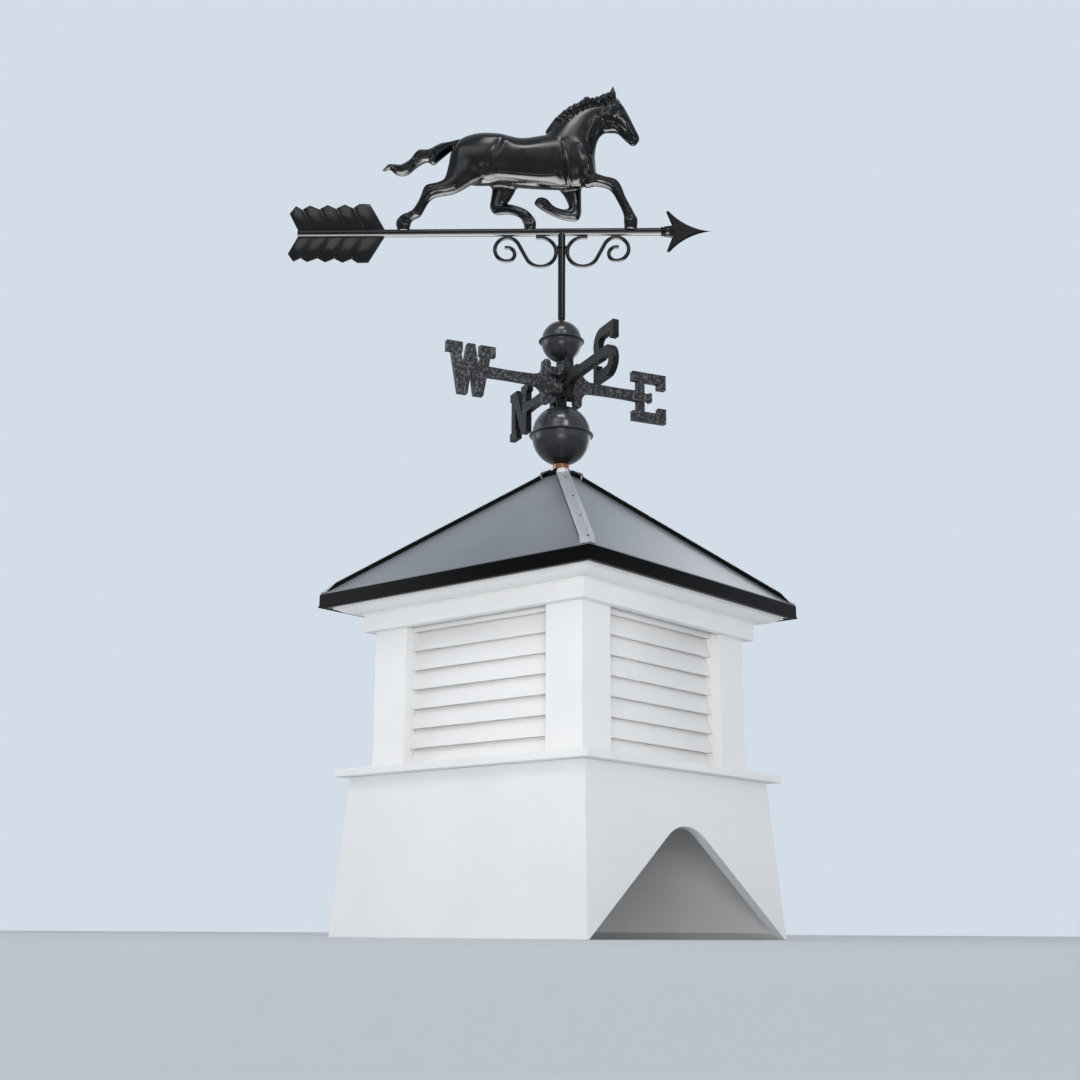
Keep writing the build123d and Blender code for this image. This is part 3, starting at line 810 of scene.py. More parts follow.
    def build_rivets(self) -> Bench:
        """Presses the domed rivets that hold the hip caps."""
        down = mm(self.eave_half, -self.eave_half, self.eave_top - self.apex)
        rivets = Bench.disc("hip_cap_rivets", sides=14, radius=self.rivet_radius)
        rivets.edit()
        rivets.pick_all()
        for rise, shrink in self.rivet_steps:
            rivets.extrude(mm(0, 0, rise))
            bpy.ops.transform.resize(value=(shrink, shrink, 1.0))
        rivets.close()
        level = down.to_track_quat("X", "Z").to_matrix().to_4x4()
        lift = self.cap_height(self.rivet_offset) + self.sheet
        spots = []
        for length in self.rivet_spots:
            reach = length / METRE / down.length * self.eave_half
            place = mm(*self.hip_point(reach, self.rivet_offset, lift))
            spots.append(Matrix.Translation(place) @ level)
        back = spots[0].inverted()
        rivets.put(spots[0])
        rivets.copies([spot @ back for spot in spots[1:]])
        return self.repeat(rivets, degrees=60)

    def build_drip_edge(self) -> Bench:
        """Folds the drip edge round the eaves: its face, kicked lip and return under the soffit."""
        corners = [((self.eave_half + x) * ROOT_TWO, self.eave_bottom + z) for x, z in self.drip_line]
        edge = Bench.outline("eave_drip_edge", corners)
        edge.put(quarter_turn(0.5))
        edge.spin(steps=4)
        edge.bevel(self.drip_edge, degrees=25)
        edge.smooth(degrees=30)
        return edge

    def dress(self) -> None:
        """Builds the folded sheet and finishes the panels and peak."""
        sheets = Carried(edge=1.4, sharp=12.0)
        for side in SIDES:
            sheets.dress(f"roof_{side}_panel", Finishes.ROOF_SHEET)
        Carried(edge=1.2).dress("peak_cap", Finishes.DRIP_EDGE)
        # The caps wear the pale copy of the roof sheet, a painted sheen.
        self.build_caps().deliver("cupola", Finishes.HIP_CAP.value, "hip_caps")
        for piece in (self.build_boxes(), self.build_rivets(), self.build_drip_edge()):
            piece.deliver("cupola", Finishes.DRIP_EDGE.value)


@dataclass
class Finial:
    """Copper collar, the two spun balls and the rod they are threaded on."""

    collar_radius: float = 15.5
    collar_low: float = 836.0
    collar_bore: float = 5.75
    collar_lap: float = 0.4
    collar_shoulder: float = 1.0
    # The flare: out from the collar's radius and up from its foot.
    collar_foot: tuple[Point, ...] = ((1.2, 0.0), (0.9, 1.2), (0.0, 2.0))
    ball_lift: float = 2.6
    # The rim's upper half: out from the ball's radius and up from the rim's middle.
    rim: tuple[Point, ...] = ((0.6, 2.7), (2.2, 1.6), (4.9, 1.3), (5.8, 0.39))
    rod_radius: float = 4.75
    large: Point = (54.0, 903.4)
    small: Point = (37.2, 1089.0)
    dome_steps: int = 20
    dome_gap: float = 0.06

    def build_ball(self, name: str, radius: float, height: float) -> Bench:
        """Spins one ball: two domes that meet in a beaded rim.

        Args:
            name: The piece's name.
            radius: The ball's radius.
            height: The height of its rim.

        Returns:
            The ball.
        """
        start = math.asin(self.rod_radius / radius)
        sweep = math.pi / 2 - self.dome_gap - start
        arc = [start + sweep * index / self.dome_steps for index in range(self.dome_steps + 1)]
        centre = height + self.ball_lift
        upper = [(radius * math.sin(a), centre + radius * math.cos(a)) for a in arc]
        upper += [(radius + out, height + up) for out, up in self.rim]
        ball = Bench.outline(name, upper + [(x, 2 * height - z) for x, z in reversed(upper)])
        ball.spin(steps=96)
        ball.smooth(degrees=38)
        return ball

    def build_collar(self) -> Bench:
        """Turns the copper collar, flared where it sits on the peak cap."""
        top = self.large[1] - self.large[0] - self.ball_lift + self.collar_lap
        low, radius, ease = self.collar_low, self.collar_radius, self.collar_shoulder
        foot = [(radius + out, low + up) for out, up in self.collar_foot]
        shoulder = [(radius, top - ease), (radius - ease, top), (self.collar_bore, top)]
        profile = [(self.collar_bore, low), *foot, *shoulder]
        collar = Bench.outline("copper_collar_turned", profile)
        collar.spin(steps=64)
        collar.smooth(degrees=35)
        return collar

    def dress(self) -> None:
        """Builds the turned pieces and finishes the rod."""
        self.build_collar().deliver("cupola", Finishes.COPPER.value, "copper_collar")
        for name, (radius, height) in (("large_ball", self.large), ("small_ball", self.small)):
            ball = self.build_ball(f"{name}_spun", radius, height)
            ball.deliver("cupola", Finishes.GLOSS_BLACK.value, name)
        Carried().dress("vane_rod", Finishes.ROD, rounded=False)


@dataclass
class Directionals:
    """The two castings that cross on the rod and carry the letters."""

    edge: float = 1.1

    def dress(self) -> None:
        """Finishes the castings with eased edges."""
        castings = Carried(edge=self.edge, sharp=32.0)
        # This casting wears the lit copy: painted sheen and glints on the same black metal.
        castings.dress("west_east_casting", Finishes.PALE_CASTING)
        castings.dress("north_south_casting", Finishes.CASTING)


@dataclass(frozen=True)
class VaneFrame:
    """Where the vane's own drawing plane stands: x along the arrow, z up, the far side at +y."""

    shaft_height: float = 1312.9
    bearing: float = 38.4

    def place(self) -> Matrix:
        """The matrix from the vane's drawing plane to the row frame."""
        turn = Matrix.Rotation(math.radians(self.bearing), 4, "Z")
        return Matrix.Translation(mm(0, 0, self.shaft_height)) @ turn


@dataclass
class Arrow:
    """The arrow: shaft, sleeve, head, scrolls, and the feathered fletching, built from its front."""

    vane: VaneFrame = field(default_factory=VaneFrame)
    feather_front: float = -340.5
    feather_feet: tuple[float, ...] = (0.0, 39.7, 72.7, 105.0, 138.0, 167.5)
    feather_peaks: tuple[float, ...] = (50.7, 79.0, 112.5, 147.0, 174.0)
    feather_foot: float = 8.0
    feather_top: float = 61.5
    feather_slant: float = 30.1
    valley_slant: float = 22.0
    valley_depth: float = 7.8
    tip_slant: float = 18.0
    tip_depth: float = 16.0
    peak_rise: float = 0.3
    lap: float = 1.0
    feather_fall: float = 0.9
    feather_thick: float = 2.2
    feather_lean: float = 0.9
    lean_hinge: float = 16.0
    rib_wide: float = 3.4
    rib_proud: float = 1.3
    rib_short: float = 2.0
    edge: float = 0.7

    def build_feather(self, index: int) -> Bench:
        """Cuts one feather above the shaft, numbered from the front."""
        front, back = (self.feather_front - foot for foot in self.feather_feet[index : index + 2])
        foot, top = self.feather_foot, self.feather_top - self.feather_fall * index
        head = (front - self.valley_slant, top - self.valley_depth)
        if index == 0:
            head = (front - self.feather_slant, top)
        tail = (back - self.valley_slant, top - self.valley_depth)
        if index == len(self.feather_peaks) - 1:
            tail = (back - self.tip_slant, top - self.tip_depth)
        peak = (self.feather_front - self.feather_peaks[index], top + self.peak_rise)
        corners = [(front, foot), head, peak, tail, (back - self.lap, foot)]
        feather = Bench.plate(f"feather_{index}", corners, self.feather_thick)
        lean = Matrix.Rotation(math.radians(self.feather_lean), 4, "Z")
        hinge = Matrix.Translation(mm(front - self.lean_hinge, 0, 0))
        feather.put(hinge @ lean @ hinge.inverted())
        return feather

    def build_rib(self, index: int) -> Bench:
        """Cuts the raised rib where one feather's edge lies on the next."""
        near = self.feather_front - self.feather_feet[index]
        far, half, low = near - self.valley_slant, self.rib_wide / 2, self.feather_foot
        high = self.feather_top - self.feather_fall * index - self.valley_depth - self.rib_short
        corners = [(near + half, low), (far + half, high), (far - half, high), (near - half, low)]
        return Bench.plate(f"rib_{index}", corners, self.feather_thick + 2 * self.rib_proud)

    def build_fletching(self) -> Bench:
        """Builds the feathers above the shaft and mirrors them below it."""
        count = len(self.feather_peaks)
        fletching, *rest = [self.build_feather(index) for index in range(count)]
        fletching.join(rest + [self.build_rib(index) for index in range(1, count)])
        fletching.obj.name = "fletching_feathers"
        fletching.bevel(self.edge, degrees=40)
        fletching.copies([Matrix.Scale(-1, 4, Vector((0, 0, 1)))])
        fletching.outward()
        fletching.put(self.vane.place())
        fletching.smooth(degrees=35)
        return fletching

    def dress(self) -> None:
        """Builds the fletching and finishes the rest of the arrow."""
        self.build_fletching().deliver("vane", Finishes.VANE.value, "arrow_fletching")
        for name in ("arrow_shaft", "vane_sleeve", "scrolls"):
            Carried().dress(name, Finishes.VANE, rounded=False)
        Carried().dress("arrow_head", Finishes.VANE_PLATE, rounded=False)


@dataclass(frozen=True)
class Crease:
    """A line raised from the stamped halves, or pressed into them when its rise is negative.

    Its side is -1 for the near half, 1 for the far half and 0 for both.
    """

    side: int
    rise: float
    width: float
    line: Sequence[Sequence[float]]


@dataclass(frozen=True)
class Limb:
    """A rounded form of the horse, drawn as ovals across it.

    Each section is two points, as x and z, on the horse's outline in the vane's plane, then half
    the oval's width and a step that moves it sideways.
    """

    name: str
    sections: tuple[Section, ...]
    side: float = 0.0
    per_span: int = 5
    sides: int = 20

    def build(self) -> Bench:
        """Sets the ovals out along the form and bridges each to the next, in the vane's plane."""
        rings = along_curve(self.sections, self.per_span)
        form = Bench.disc(self.name, self.sides, METRE)
        form.hollow()
        self.shape_oval(rings[0])
        for index, ring in enumerate(rings[1:]):
            bpy.ops.mesh.select_all(action="DESELECT")
            bpy.ops.mesh.primitive_circle_add(vertices=self.sides, radius=1)
            self.shape_oval(ring)
            form.pick_verts(lambda vert, low=index * self.sides: vert.index >= low)
            bpy.ops.mesh.bridge_edge_loops()
        for first in (0, (len(rings) - 1) * self.sides):
            form.pick_verts(lambda vert, low=first: low <= vert.index < low + self.sides)
            bpy.ops.mesh.edge_face_add()
        form.close()
        return form

    def shape_oval(self, ring: Sequence[float]) -> None:
        """Shapes the selected unit circle to one oval and stands it in its place."""
        x_one, z_one, x_other, z_other, half_width, step = ring
        rise = math.hypot(x_one - x_other, z_one - z_other)
        middle = mm((x_one + x_other) / 2, -(self.side + step), (z_one + z_other) / 2)
        tilt = math.atan2(z_one - z_other, x_one - x_other)
        size, start = (rise / 2 / METRE, half_width / METRE, 1.0), (0, 0, 0)
        bpy.ops.transform.resize(value=size, center_override=start)
        bpy.ops.transform.rotate(value=tilt, orient_axis="Y", center_override=start)
        bpy.ops.transform.translate(value=middle)


@dataclass
class Horse:
    """The full-bodied horse: two stamped halves, its muscles, mane and tail in relief."""

    vane: VaneFrame = field(default_factory=VaneFrame)
    soft_voxel: float = 1.9
    soft_passes: int = 18
    limb_passes: int = 8
    voxel: float = 1.5
    smoothing: int = 2
    leg_side: float = 18.0
    ear_side: float = 8.0
    mane_locks: int = 11
    lock_slant: float = 0.11
    # Each row of locks: where its strokes begin and end across the mane, and how far they bend.
    lock_rows: tuple[tuple[float, float, float], ...] = ((0.1, 0.6, -0.05), (0.42, 1.0, 0.07))
    # Rises and widths of the strokes of the mane and the tail.
    lock: Point = (3.4, 2.2)
    lock_valley: Point = (-2.0, 2.0)
    valley_share: float = 0.9
    mane_foot: Point = (-1.8, 2.0)
    strand_valley: Point = (-1.8, 2.2)
    strand_step: Point = (-1.0, 5.0)
    curve_steps: int = 12
    relief_steps: int = 4
    relief_reach: float = 4.0
    facing_gain: float = 1.6

    trunk: tuple[Section, ...] = (
        (-204, 190, -219, 156, 12, 0), (-189, 201, -217, 122, 27, 0), (-160, 208.5, -178, 102, 35, 0),
        (-122, 207, -122, 101, 37, 0), (-80, 197, -78, 96, 36, 0), (-40, 202, -38, 92.5, 36, 0),
        (0, 208, 8, 90, 34, 0), (32, 200, 48, 97, 28, 0), (54, 180, 64, 114, 17, 0),
        (63, 168, 67, 118, 8, 0),
    )
    neck: tuple[Section, ...] = (
        (-34, 202, 64, 128, 32, 0), (-9, 232, 65, 164, 26, 0), (22, 262, 70, 191, 19.5, 0),
        (48, 277, 80, 206, 15.5, 0), (72, 283, 92, 210, 14, 0),
    )
    head: tuple[Section, ...] = (
        (72, 283, 78, 214, 13, 0), (105, 286, 90, 210, 18, 0), (121, 265, 106, 209, 16, 0),
        (134, 239, 121, 194, 12, 0), (143, 219, 129, 185, 9.5, 0), (151, 201, 137, 179, 9, 0),
        (152, 193, 142, 181, 5, 0),
    )
    tail: tuple[Section, ...] = (
        (-194, 198, -209, 180, 10, 0), (-216, 193.5, -223, 167, 11, 0), (-235, 190, -240, 151, 11.5, 0),
        (-251, 182, -250, 143, 11, 0), (-263, 177, -263, 150, 10.5, 0),
        (-281, 175.5, -283, 137, 10.5, 0), (-295, 157, -297, 124, 9.5, 0),
        (-312, 145.5, -310, 120, 8, 0), (-325, 146, -322, 123.5, 6.5, 0),
        (-338, 145.5, -335, 134, 4.5, 0), (-350, 132, -347, 130, 1.5, 0),
    )
    mane: tuple[Section, ...] = (
        (-27, 205, -33, 212, 6, 0), (-12, 213, -15, 239, 11.5, 0), (8, 228, 7, 260, 13.5, 0),
        (23, 242, 19, 267.5, 14.5, 0), (39.5, 252.5, 37, 277, 15, 0), (52, 258, 46.5, 286, 15.5, 0),
        (58, 260, 56.5, 282.5, 15.5, 0), (72, 262, 68, 285, 15.5, 0), (88, 263, 86, 294, 14.5, 0),
        (99, 266, 96, 295, 11, 0),
    )
    ear: tuple[Section, ...] = (
        (88, 280, 106, 279, 5, 0), (92, 290, 106, 289, 4.5, 0), (96, 299, 103.5, 296, 2.8, 1),
        (99.5, 305.5, 101, 305, 0.8, 2),
    )
    near_fore: tuple[Section, ...] = (
        (16, 152, 60, 150, 13, -4), (28, 116, 64, 124, 13.5, -3), (44, 86, 67, 115, 12.5, -2),
        (64, 88, 82, 108, 11, -1), (86, 82.5, 103, 102.5, 9.5, -1), (97, 74, 114, 90, 8.8, -3),
        (105.5, 59, 123, 66, 7.8, -5), (112.5, 46, 132, 50, 7.2, -8), (118, 31, 140, 34, 7.8, -10),
        (118.5, 20, 146, 22, 9.8, -12), (120, 2, 144, 2, 10.8, -15),
    )
    far_fore: tuple[Section, ...] = (
        (-16, 120, 40, 114, 15, 0), (-6, 98, 38, 92, 13, 0), (3, 86, 38, 78, 11.5, 0),
        (11, 68, 38, 62, 10.5, 0), (12.5, 58, 37.5, 45, 10, 2), (8, 55, 29, 29.5, 9.5, 4),
        (0, 54, -1, 32.5, 8, 6), (-16, 60.5, -26, 43, 7.2, 8), (-29, 74.5, -41, 51.5, 8, 10),
        (-42, 76.5, -52, 60, 7.5, 12), (-49, 72, -54, 64, 3.5, 12),
    )
    near_hind: tuple[Section, ...] = (
        (-214, 164, -136, 158, 15, -1), (-220, 132, -146, 112, 16, -2), (-227, 106, -174, 93, 14, -2),
        (-241, 97.5, -205, 74, 11.5, -1), (-263, 91, -238, 66.5, 10, 0), (-272, 70, -253, 59, 8.5, -3),
        (-281, 53, -264, 41.5, 7.6, -6), (-291, 41.5, -271.5, 30, 8, -9),
        (-309, 35, -286, 24, 9.5, -12), (-319.5, 21, -290, 16, 10, -14), (-315, 2, -293, 2, 9, -15),
    )
    far_hind: tuple[Section, ...] = (
        (-160, 134, -84, 116, 16, 0), (-138, 104, -90, 97, 13.5, 0), (-138, 82, -98, 80, 11.5, 1),
        (-140, 59, -106, 67, 10, 2), (-128, 43.5, -102, 65.5, 9, 5), (-104, 42.5, -91, 61.5, 7.6, 9),
        (-82, 33.5, -71, 52, 7.6, 13), (-75, 21, -57, 38, 8, 15), (-73, 12.5, -49, 23, 9, 16),
        (-71, 2, -50, 4, 9, 17),
    )
    swells: tuple[Crease, ...] = (
        Crease(0, 4.2, 9, ((-122, 111), (-80, 107), (-40, 104), (-14, 106))),
        Crease(0, 2, 11, ((-150, 192), (-128, 190), (-108, 182))),
        Crease(0, -2.4, 7, ((-118, 182), (-126, 162), (-138, 140), (-148, 120))),
        Crease(0, 1.6, 14, ((-204, 150), (-200, 168))),
        Crease(0, -1.6, 7, ((4, 176), (10, 150), (14, 120))),
        Crease(0, 2.6, 12, ((34, 172), (40, 150), (42, 128))),
        Crease(0, 2, 9, ((86, 240), (100, 232), (98, 222))),
    )
    creases: tuple[Crease, ...] = (
        Crease(-1, 2.8, 2.2, ((-1.3, 153), (1, 133.7), (3.2, 109.7), (7.6, 88.2), (13.1, 79.8))),
        Crease(-1, -2.6, 2, ((2.6, 150), (6.2, 127), (9.5, 104), (15, 86))),
        Crease(-1, 2.4, 2, ((7, 138), (11, 120), (16, 100), (22, 84))),
        Crease(0, 1.6, 4.5, ((40, 176), (45, 162), (50, 146), (52, 132), (52.5, 120))),
        Crease(-1, 1.4, 2.2, ((35.1, 108), (48.2, 115), (63.6, 112.5), (76, 106))),
        Crease(-1, 2.2, 2.2, ((20, 84), (30.6, 81), (36, 88))),
        Crease(-1, 2.4, 1.9, (
            (30.6, 92.8), (50.4, 101.5), (70, 96.5), (90, 91), (103, 80), (113.7, 60), (123, 42),
        )),
        Crease(-1, -2.2, 2, (
            (34, 98), (52, 107), (72, 102), (94, 96), (108, 84), (118.5, 63), (128, 45),
        )),
        Crease(0, 2.2, 3, ((63.9, 227), (57.3, 210.6), (51.7, 193.6), (51.8, 181))),
        Crease(0, -2, 2.8, ((72, 220), (66, 204), (60, 188), (59, 174))),
        Crease(0, 2, 2.2, ((-152, 110), (-148, 118), (-144, 128))),
        Crease(0, 1.4, 2.6, ((71.7, 233), (84, 226), (100, 221.5), (112, 216), (122, 206))),
        Crease(0, 1.8, 2.2, (
            (71.7, 232.4), (77.2, 220.2), (86, 212.5), (101.5, 212), (114.7, 203.5), (125.7, 191.5),
        )),
        Crease(0, 1.6, 1.5, (
            (111.5, 244.5), (114.5, 246.5), (118.5, 244.5), (122.7, 237.5), (118, 237), (113.5, 240),
            (111.5, 244.5),
        )),
        Crease(0, 1.6, 1.9, ((116.5, 241.5), (118.5, 240.5))),
        Crease(0, -1.8, 1.5, ((126, 189.5), (131, 186.5), (137, 184.5))),
        Crease(0, -2.4, 1.9, ((142.5, 197), (145.5, 194.5))),
        Crease(0, 1.4, 2, ((127, 226), (134, 210), (140, 199))),
        Crease(0, 2, 1.8, ((101, 286), (106, 275), (113, 266), (121, 259))),
        Crease(0, -1.8, 1.6, ((105, 285), (111, 276), (118, 268))),
        Crease(0, 1.8, 1.8, ((96, 280), (101, 270), (108, 262), (116, 258))),
        Crease(0, -1.8, 1.6, ((96, 284), (99, 291), (100, 298))),
        Crease(-1, 2.2, 2.2, ((-206, 84), (-222, 79), (-240, 77), (-252, 72))),
        Crease(-1, 1.8, 1.9, ((-252, 82), (-264, 72), (-272, 57), (-284, 42))),
        Crease(-1, 1.8, 1.8, ((-292, 40), (-283, 33), (-272, 30))),
        Crease(-1, 1.8, 1.5, ((-313, 25), (-306, 12), (-294, 13), (-296, 24), (-304, 31), (-313, 25))),
        Crease(-1, 1.8, 1.5, ((124.5, 39), (121, 27), (126, 18), (136, 19), (137, 30), (124.5, 39))),
        Crease(-1, 1.8, 1.5, ((122, 12), (133, 15), (143, 11))),
        Crease(0, 1.8, 1.9, ((35, 49.9), (28, 37), (14, 38), (0, 40), (-20, 50))),
        Crease(0, 1.6, 1.6, ((12, 49), (-2, 46), (-18, 54), (-26, 61))),
        Crease(0, 1.8, 1.5, ((-30, 54), (-28, 62), (-34, 72))),
        Crease(0, 1.6, 1.5, ((-46, 62), (-42, 70), (-36, 66), (-40, 58), (-46, 62))),
        Crease(0, 1.8, 1.9, ((-133, 52), (-118, 55), (-100, 52), (-80, 42))),
        Crease(0, 1.6, 1.6, ((-104, 62), (-88, 56), (-72, 47))),
        Crease(0, 1.8, 1.5, ((-72, 38), (-64, 31), (-54, 29), (-54, 17), (-66, 15), (-72, 38))),
    )
    strands: tuple[Crease, ...] = (
        Crease(0, 2.4, 2.2, (
            (-207, 183), (-222, 176), (-236, 166), (-244, 156), (-256, 154), (-270, 152), (-283, 144),
        )),
        Crease(0, 2.4, 2.2, (
            (-262, 157), (-281, 149), (-293, 135), (-308, 127), (-321, 129), (-334, 138), (-345, 133),
        )),
        Crease(0, 2, 2, (
            (-246, 176), (-262, 170), (-279, 168), (-289, 158), (-301, 142), (-316, 137), (-330, 141),
        )),
        Crease(0, 1.8, 1.8, ((-243, 163), (-247, 152), (-251, 147), (-257, 151))),
        Crease(0, 2, 2.4, (
            (-200, 192), (-220, 186), (-240, 178), (-256, 165), (-272, 160), (-286, 150),
        )),
    )

    def mane_lines(self) -> list[Crease]:
        """Draws the mane's locks: two staggered rows of short strokes, slanting down the neck."""
        foot, crest = (
            np.array(along_curve([section[at : at + 2] for section in self.mane[1:]], self.curve_steps))
            for at in (0, 2)
        )
        last = len(foot) - 1
        made = []
        for index in range(self.mane_locks):
            for row, (begin, finish, bend) in enumerate(self.lock_rows):
                share = (index + 0.5 * row) / self.mane_locks
                beside = min(1.0, share + 0.5 / self.mane_locks)
                top = crest[round(share * last)]
                run = foot[round(min(1.0, share + self.lock_slant) * last)] - top
                middle = top + run * (begin + finish) / 2 + np.array((-run[1], run[0])) * bend
                line = np.array((top + run * begin, middle, top + run * finish))
                step = (crest[round(beside * last)] - top) * self.valley_share
                made += [Crease(0, *self.lock, line), Crease(0, *self.lock_valley, line + step)]
        return [*made, Crease(0, *self.mane_foot, foot[:: self.curve_steps // 2])]

    def tail_valleys(self) -> list[Crease]:
        """Draws the valley beside each of the tail's strands."""
        step = np.array(self.strand_step)
        return [Crease(0, *self.strand_valley, np.array(strand.line) + step) for strand in self.strands]

    def press(self, mesh: bpy.types.Mesh) -> None:
        """Presses the relief into the two halves, straight out from their seam.

        Args:
            mesh: The horse's mesh in the vane's drawing plane.
        """
        count = len(mesh.vertices)
        place, normal = np.zeros(count * 3), np.zeros(count * 3)
        mesh.vertices.foreach_get("co", place)
        mesh.vertices.foreach_get("normal", normal)
        place, normal = place.reshape(-1, 3), normal.reshape(-1, 3)
        flat = place[:, [0, 2]] * METRE
        facing = np.clip(normal[:, 1] * self.facing_gain, -1, 1)
        lift = np.zeros(count)
        drawn = (*self.creases, *self.swells, *self.mane_lines(), *self.strands, *self.tail_valleys())
        for crease in drawn:
            path = np.array(along_curve(crease.line, self.relief_steps))
            margin = self.relief_reach * crease.width
            near = np.all((flat > path.min(0) - margin) & (flat < path.max(0) + margin), axis=1)
            if crease.side:
                near &= place[:, 1] * crease.side > 0
            points = flat[near]
            gap = np.full(len(points), np.inf)
            for start, end in zip(path[:-1], path[1:]):
                run = end - start
                share = np.clip(((points - start) @ run) / max(run @ run, TINY), 0, 1)
                gap = np.minimum(gap, np.linalg.norm(points - start - share[:, None] * run, axis=1))
            lift[near] += crease.rise * np.exp(-((gap / crease.width) ** 2))
        place[:, 1] += lift * facing / METRE
        mesh.vertices.foreach_set("co", place.ravel())
        mesh.update()

    def build(self) -> Bench:
        """Builds the horse's forms, fuses them to one skin and presses its relief."""
        side = self.leg_side
        limbs = [
            Limb("near_fore", self.near_fore, side),
            Limb("far_fore", self.far_fore, -side),
            Limb("near_hind", self.near_hind, side),
            Limb("far_hind", self.far_hind, -side),
        ]
        crisp = [Limb("tail", self.tail), Limb("mane", self.mane)]
        for half in (-1, 1):
            ear = tuple(
                (*points, wide, half * (self.ear_side + step)) for *points, wide, step in self.ear
            )
            crisp.append(Limb(f"ear_{half}", ear))
        horse = Limb("trunk", self.trunk, per_span=6, sides=32).build()
        soft = [
            Limb("neck", self.neck),
            Limb("head", self.head),
            Limb("near_thigh", self.near_hind[:4], side),
            Limb("far_thigh", self.far_hind[:3], -side),
        ]
        horse.join([form.build() for form in soft])
        horse.rename("horse_stamped")
        for passes, more in ((self.soft_passes, limbs), (self.limb_passes, crisp)):
            horse.apply("REMESH", mode="VOXEL", voxel_size=self.soft_voxel / METRE)
            horse.apply("SMOOTH", factor=0.5, iterations=passes)
            horse.join([form.build() for form in more])
        horse.apply("REMESH", mode="VOXEL", voxel_size=self.voxel / METRE)
        horse.apply("SMOOTH", factor=0.5, iterations=self.smoothing)
        self.press(horse.obj.data)
        horse.apply("SMOOTH", factor=0.5, iterations=self.smoothing)
        horse.put(self.vane.place())
        horse.smooth(degrees=180)
        return horse

    def dress(self) -> None:
        """Builds the horse and finishes it."""
        self.build().deliver("vane", Finishes.VANE.value, "horse")


class LampRole(Enum):
    """What a lamp does for the picture."""

    SOFTBOX = "lights and is mirrored"
    GLEAM = "is only mirrored, like a bright card"
    FILL = "only lights"


@dataclass(frozen=True)
class Lamp:
    """One softbox or card: its place, aim and size in metres, its power in watts."""

    name: str
    place: Point3
    aim: Point3
    size: Point
    power: float
    role: LampRole = LampRole.SOFTBOX
    spread: float = 180.0

    def stand(self) -> None:
        """Stands the lamp in its place, facing its aim."""
        Bench.clear()
        bpy.ops.object.light_add(type="AREA", location=self.place)
        lamp = bpy.context.object
        lamp.name = self.name
        lamp.data.shape = "RECTANGLE"
        lamp.data.size, lamp.data.size_y = self.size
        lamp.data.energy = self.power
        lamp.data.spread = math.radians(self.spread)
        facing = Vector(self.aim) - Vector(self.place)
        lamp.rotation_euler = facing.to_track_quat("-Z", "Y").to_euler()
        lamp.visible_camera = False
        lamp.visible_diffuse = self.role is not LampRole.GLEAM
        lamp.visible_glossy = self.role is not LampRole.FILL


BODY, VANE, ABOVE = (0, 0, 0.8), (0, 0, 1.3), (0, 0, 2.0)


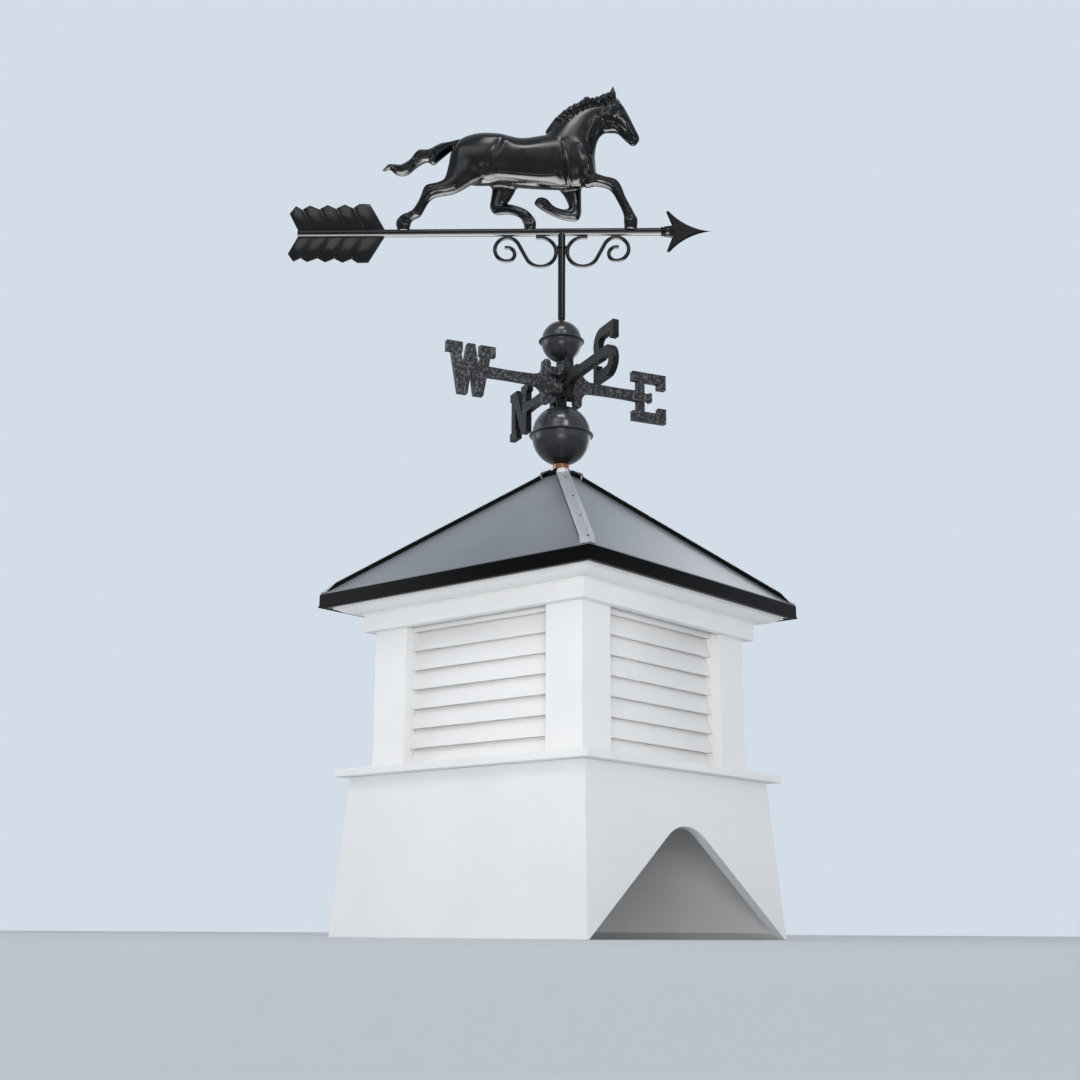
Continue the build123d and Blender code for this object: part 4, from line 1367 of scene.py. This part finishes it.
@dataclass
class Studio:
    """Pale floor, soft lamps, plain backdrop, and the camera at the photograph's angle."""

    frame_pixels: float = 1080.0
    focal_pixels: float = 1564.4
    sensor: float = 36.0
    distance: float = 2766.7
    camera_height: float = 10.0
    bearing: float = 39.171
    yaw_offset: float = 0.795
    pitch: float = 14.088
    roll: float = 0.320
    floor_radius: float = 14000.0
    backdrop: str = "#d3dde8"
    sky_light: str = "#e9eef5"
    sky_strength: float = 0.74
    lamps: tuple[Lamp, ...] = (
        Lamp("key", (0.9, -2.9, 3.5), BODY, (1.5, 1.5), 19.0),
        Lamp("top", (0.85, -1.05, 3.5), VANE, (1.0, 0.4), 21.0, LampRole.GLEAM),
        Lamp("gleam", (2.3, -1.35, 2.7), VANE, (0.7, 0.7), 24.0, LampRole.GLEAM),
        Lamp("left_fill", (-3.4, -1.8, 2.0), BODY, (1.8, 1.8), 19.0),
        Lamp("right_fill", (3.8, -0.4, 1.6), BODY, (1.6, 1.6), 4.0),
        Lamp("low_fill", (1.95, -2.4, 0.35), VANE, (1.2, 0.6), 12.0, LampRole.GLEAM),
        # Under the vane: it draws the bright belly line of the horse and the shaft's lower line.
        Lamp(
            "belly_card", (-0.157, -0.124, 1.16), (-0.057, -0.25, 3.2), (0.85, 0.36), 12.0,
            LampRole.GLEAM, 120.0,
        ),
        # Behind the roof: it pales the far end of the right roof face.
        Lamp("roof_card", (-0.08, 0.89, 1.03), (0.24, 0.11, 0.58), (0.6, 0.36), 0.9, LampRole.GLEAM),
        Lamp("eave_fill", (1.95, -2.4, 0.35), ABOVE, (1.6, 0.5), 17.0, LampRole.FILL, 90.0),
    )

    def build_floor(self) -> None:
        """Lays the floor."""
        floor = Bench.disc("studio_floor", sides=64, radius=self.floor_radius)
        floor.obj.data.materials.append(Finishes.FLOOR.value.material())

    def build_world(self) -> None:
        """Paints the backdrop for what is seen and mirrored, and a dimmer sky for what it lights."""
        world = bpy.data.worlds.new("studio")
        bpy.context.scene.world = world
        world.use_nodes = True
        tree = world.node_tree
        tree.nodes.clear()
        rays = add_node(tree, "LightPath").outputs
        seen = {0: rays["Is Camera Ray"], 1: rays["Is Glossy Ray"]}
        seen = add_node(tree, "Math", seen, operation="ADD").outputs[0]
        seen = {0: seen, 1: rays["Is Transmission Ray"]}
        seen = add_node(tree, "Math", seen, operation="ADD", use_clamp=True).outputs[0]
        sky, paint = (
            add_node(tree, "Background", {"Color": linear(colour), "Strength": strength}).outputs[0]
            for colour, strength in ((self.sky_light, self.sky_strength), (self.backdrop, 1.0))
        )
        both = add_node(tree, "MixShader", {0: seen, 1: sky, 2: paint})
        add_node(tree, "OutputWorld", {"Surface": both.outputs[0]})

    def build_camera(self) -> None:
        """Stands the camera where the photograph was taken from, just above the floor."""
        bearing, pitch, roll = (math.radians(a) for a in (self.bearing, self.pitch, self.roll))
        turn = math.radians(self.bearing + self.yaw_offset)
        flat, rise = math.cos(pitch), math.sin(pitch)
        ahead = Vector((-math.sin(turn) * flat, math.cos(turn) * flat, rise))
        level = ahead.cross(Vector((0, 0, 1))).normalized()
        upright = level.cross(ahead)
        right = level * math.cos(roll) + upright * math.sin(roll)
        up = upright * math.cos(roll) - level * math.sin(roll)
        away = (self.distance * math.sin(bearing), -self.distance * math.cos(bearing))
        place = mm(*away, self.camera_height)
        Bench.clear()
        bpy.ops.object.camera_add(location=place)
        camera = bpy.context.object
        turned = Matrix((right, up, -ahead)).transposed().to_4x4()
        camera.matrix_world = Matrix.Translation(place) @ turned
        camera.data.sensor_width = self.sensor
        camera.data.lens = self.sensor * self.focal_pixels / self.frame_pixels
        bpy.context.scene.camera = camera

    def build(self) -> None:
        """Sets up the whole studio."""
        self.build_floor()
        self.build_world()
        for lamp in self.lamps:
            lamp.stand()
        self.build_camera()
        bpy.context.scene.view_settings.view_transform = "Standard"
        log.info("studio: floor, softboxes and camera")


def main() -> None:
    """Builds each sub-assembly in order and sets up the studio."""
    logging.basicConfig(level=logging.INFO, format="%(name)s %(message)s")
    Studio().build()
    for part in (TrimBody(), Louvres(), SheetRoof(), Finial(), Directionals(), Arrow(), Horse()):
        part.dress()


if __name__ == "__main__":
    main()
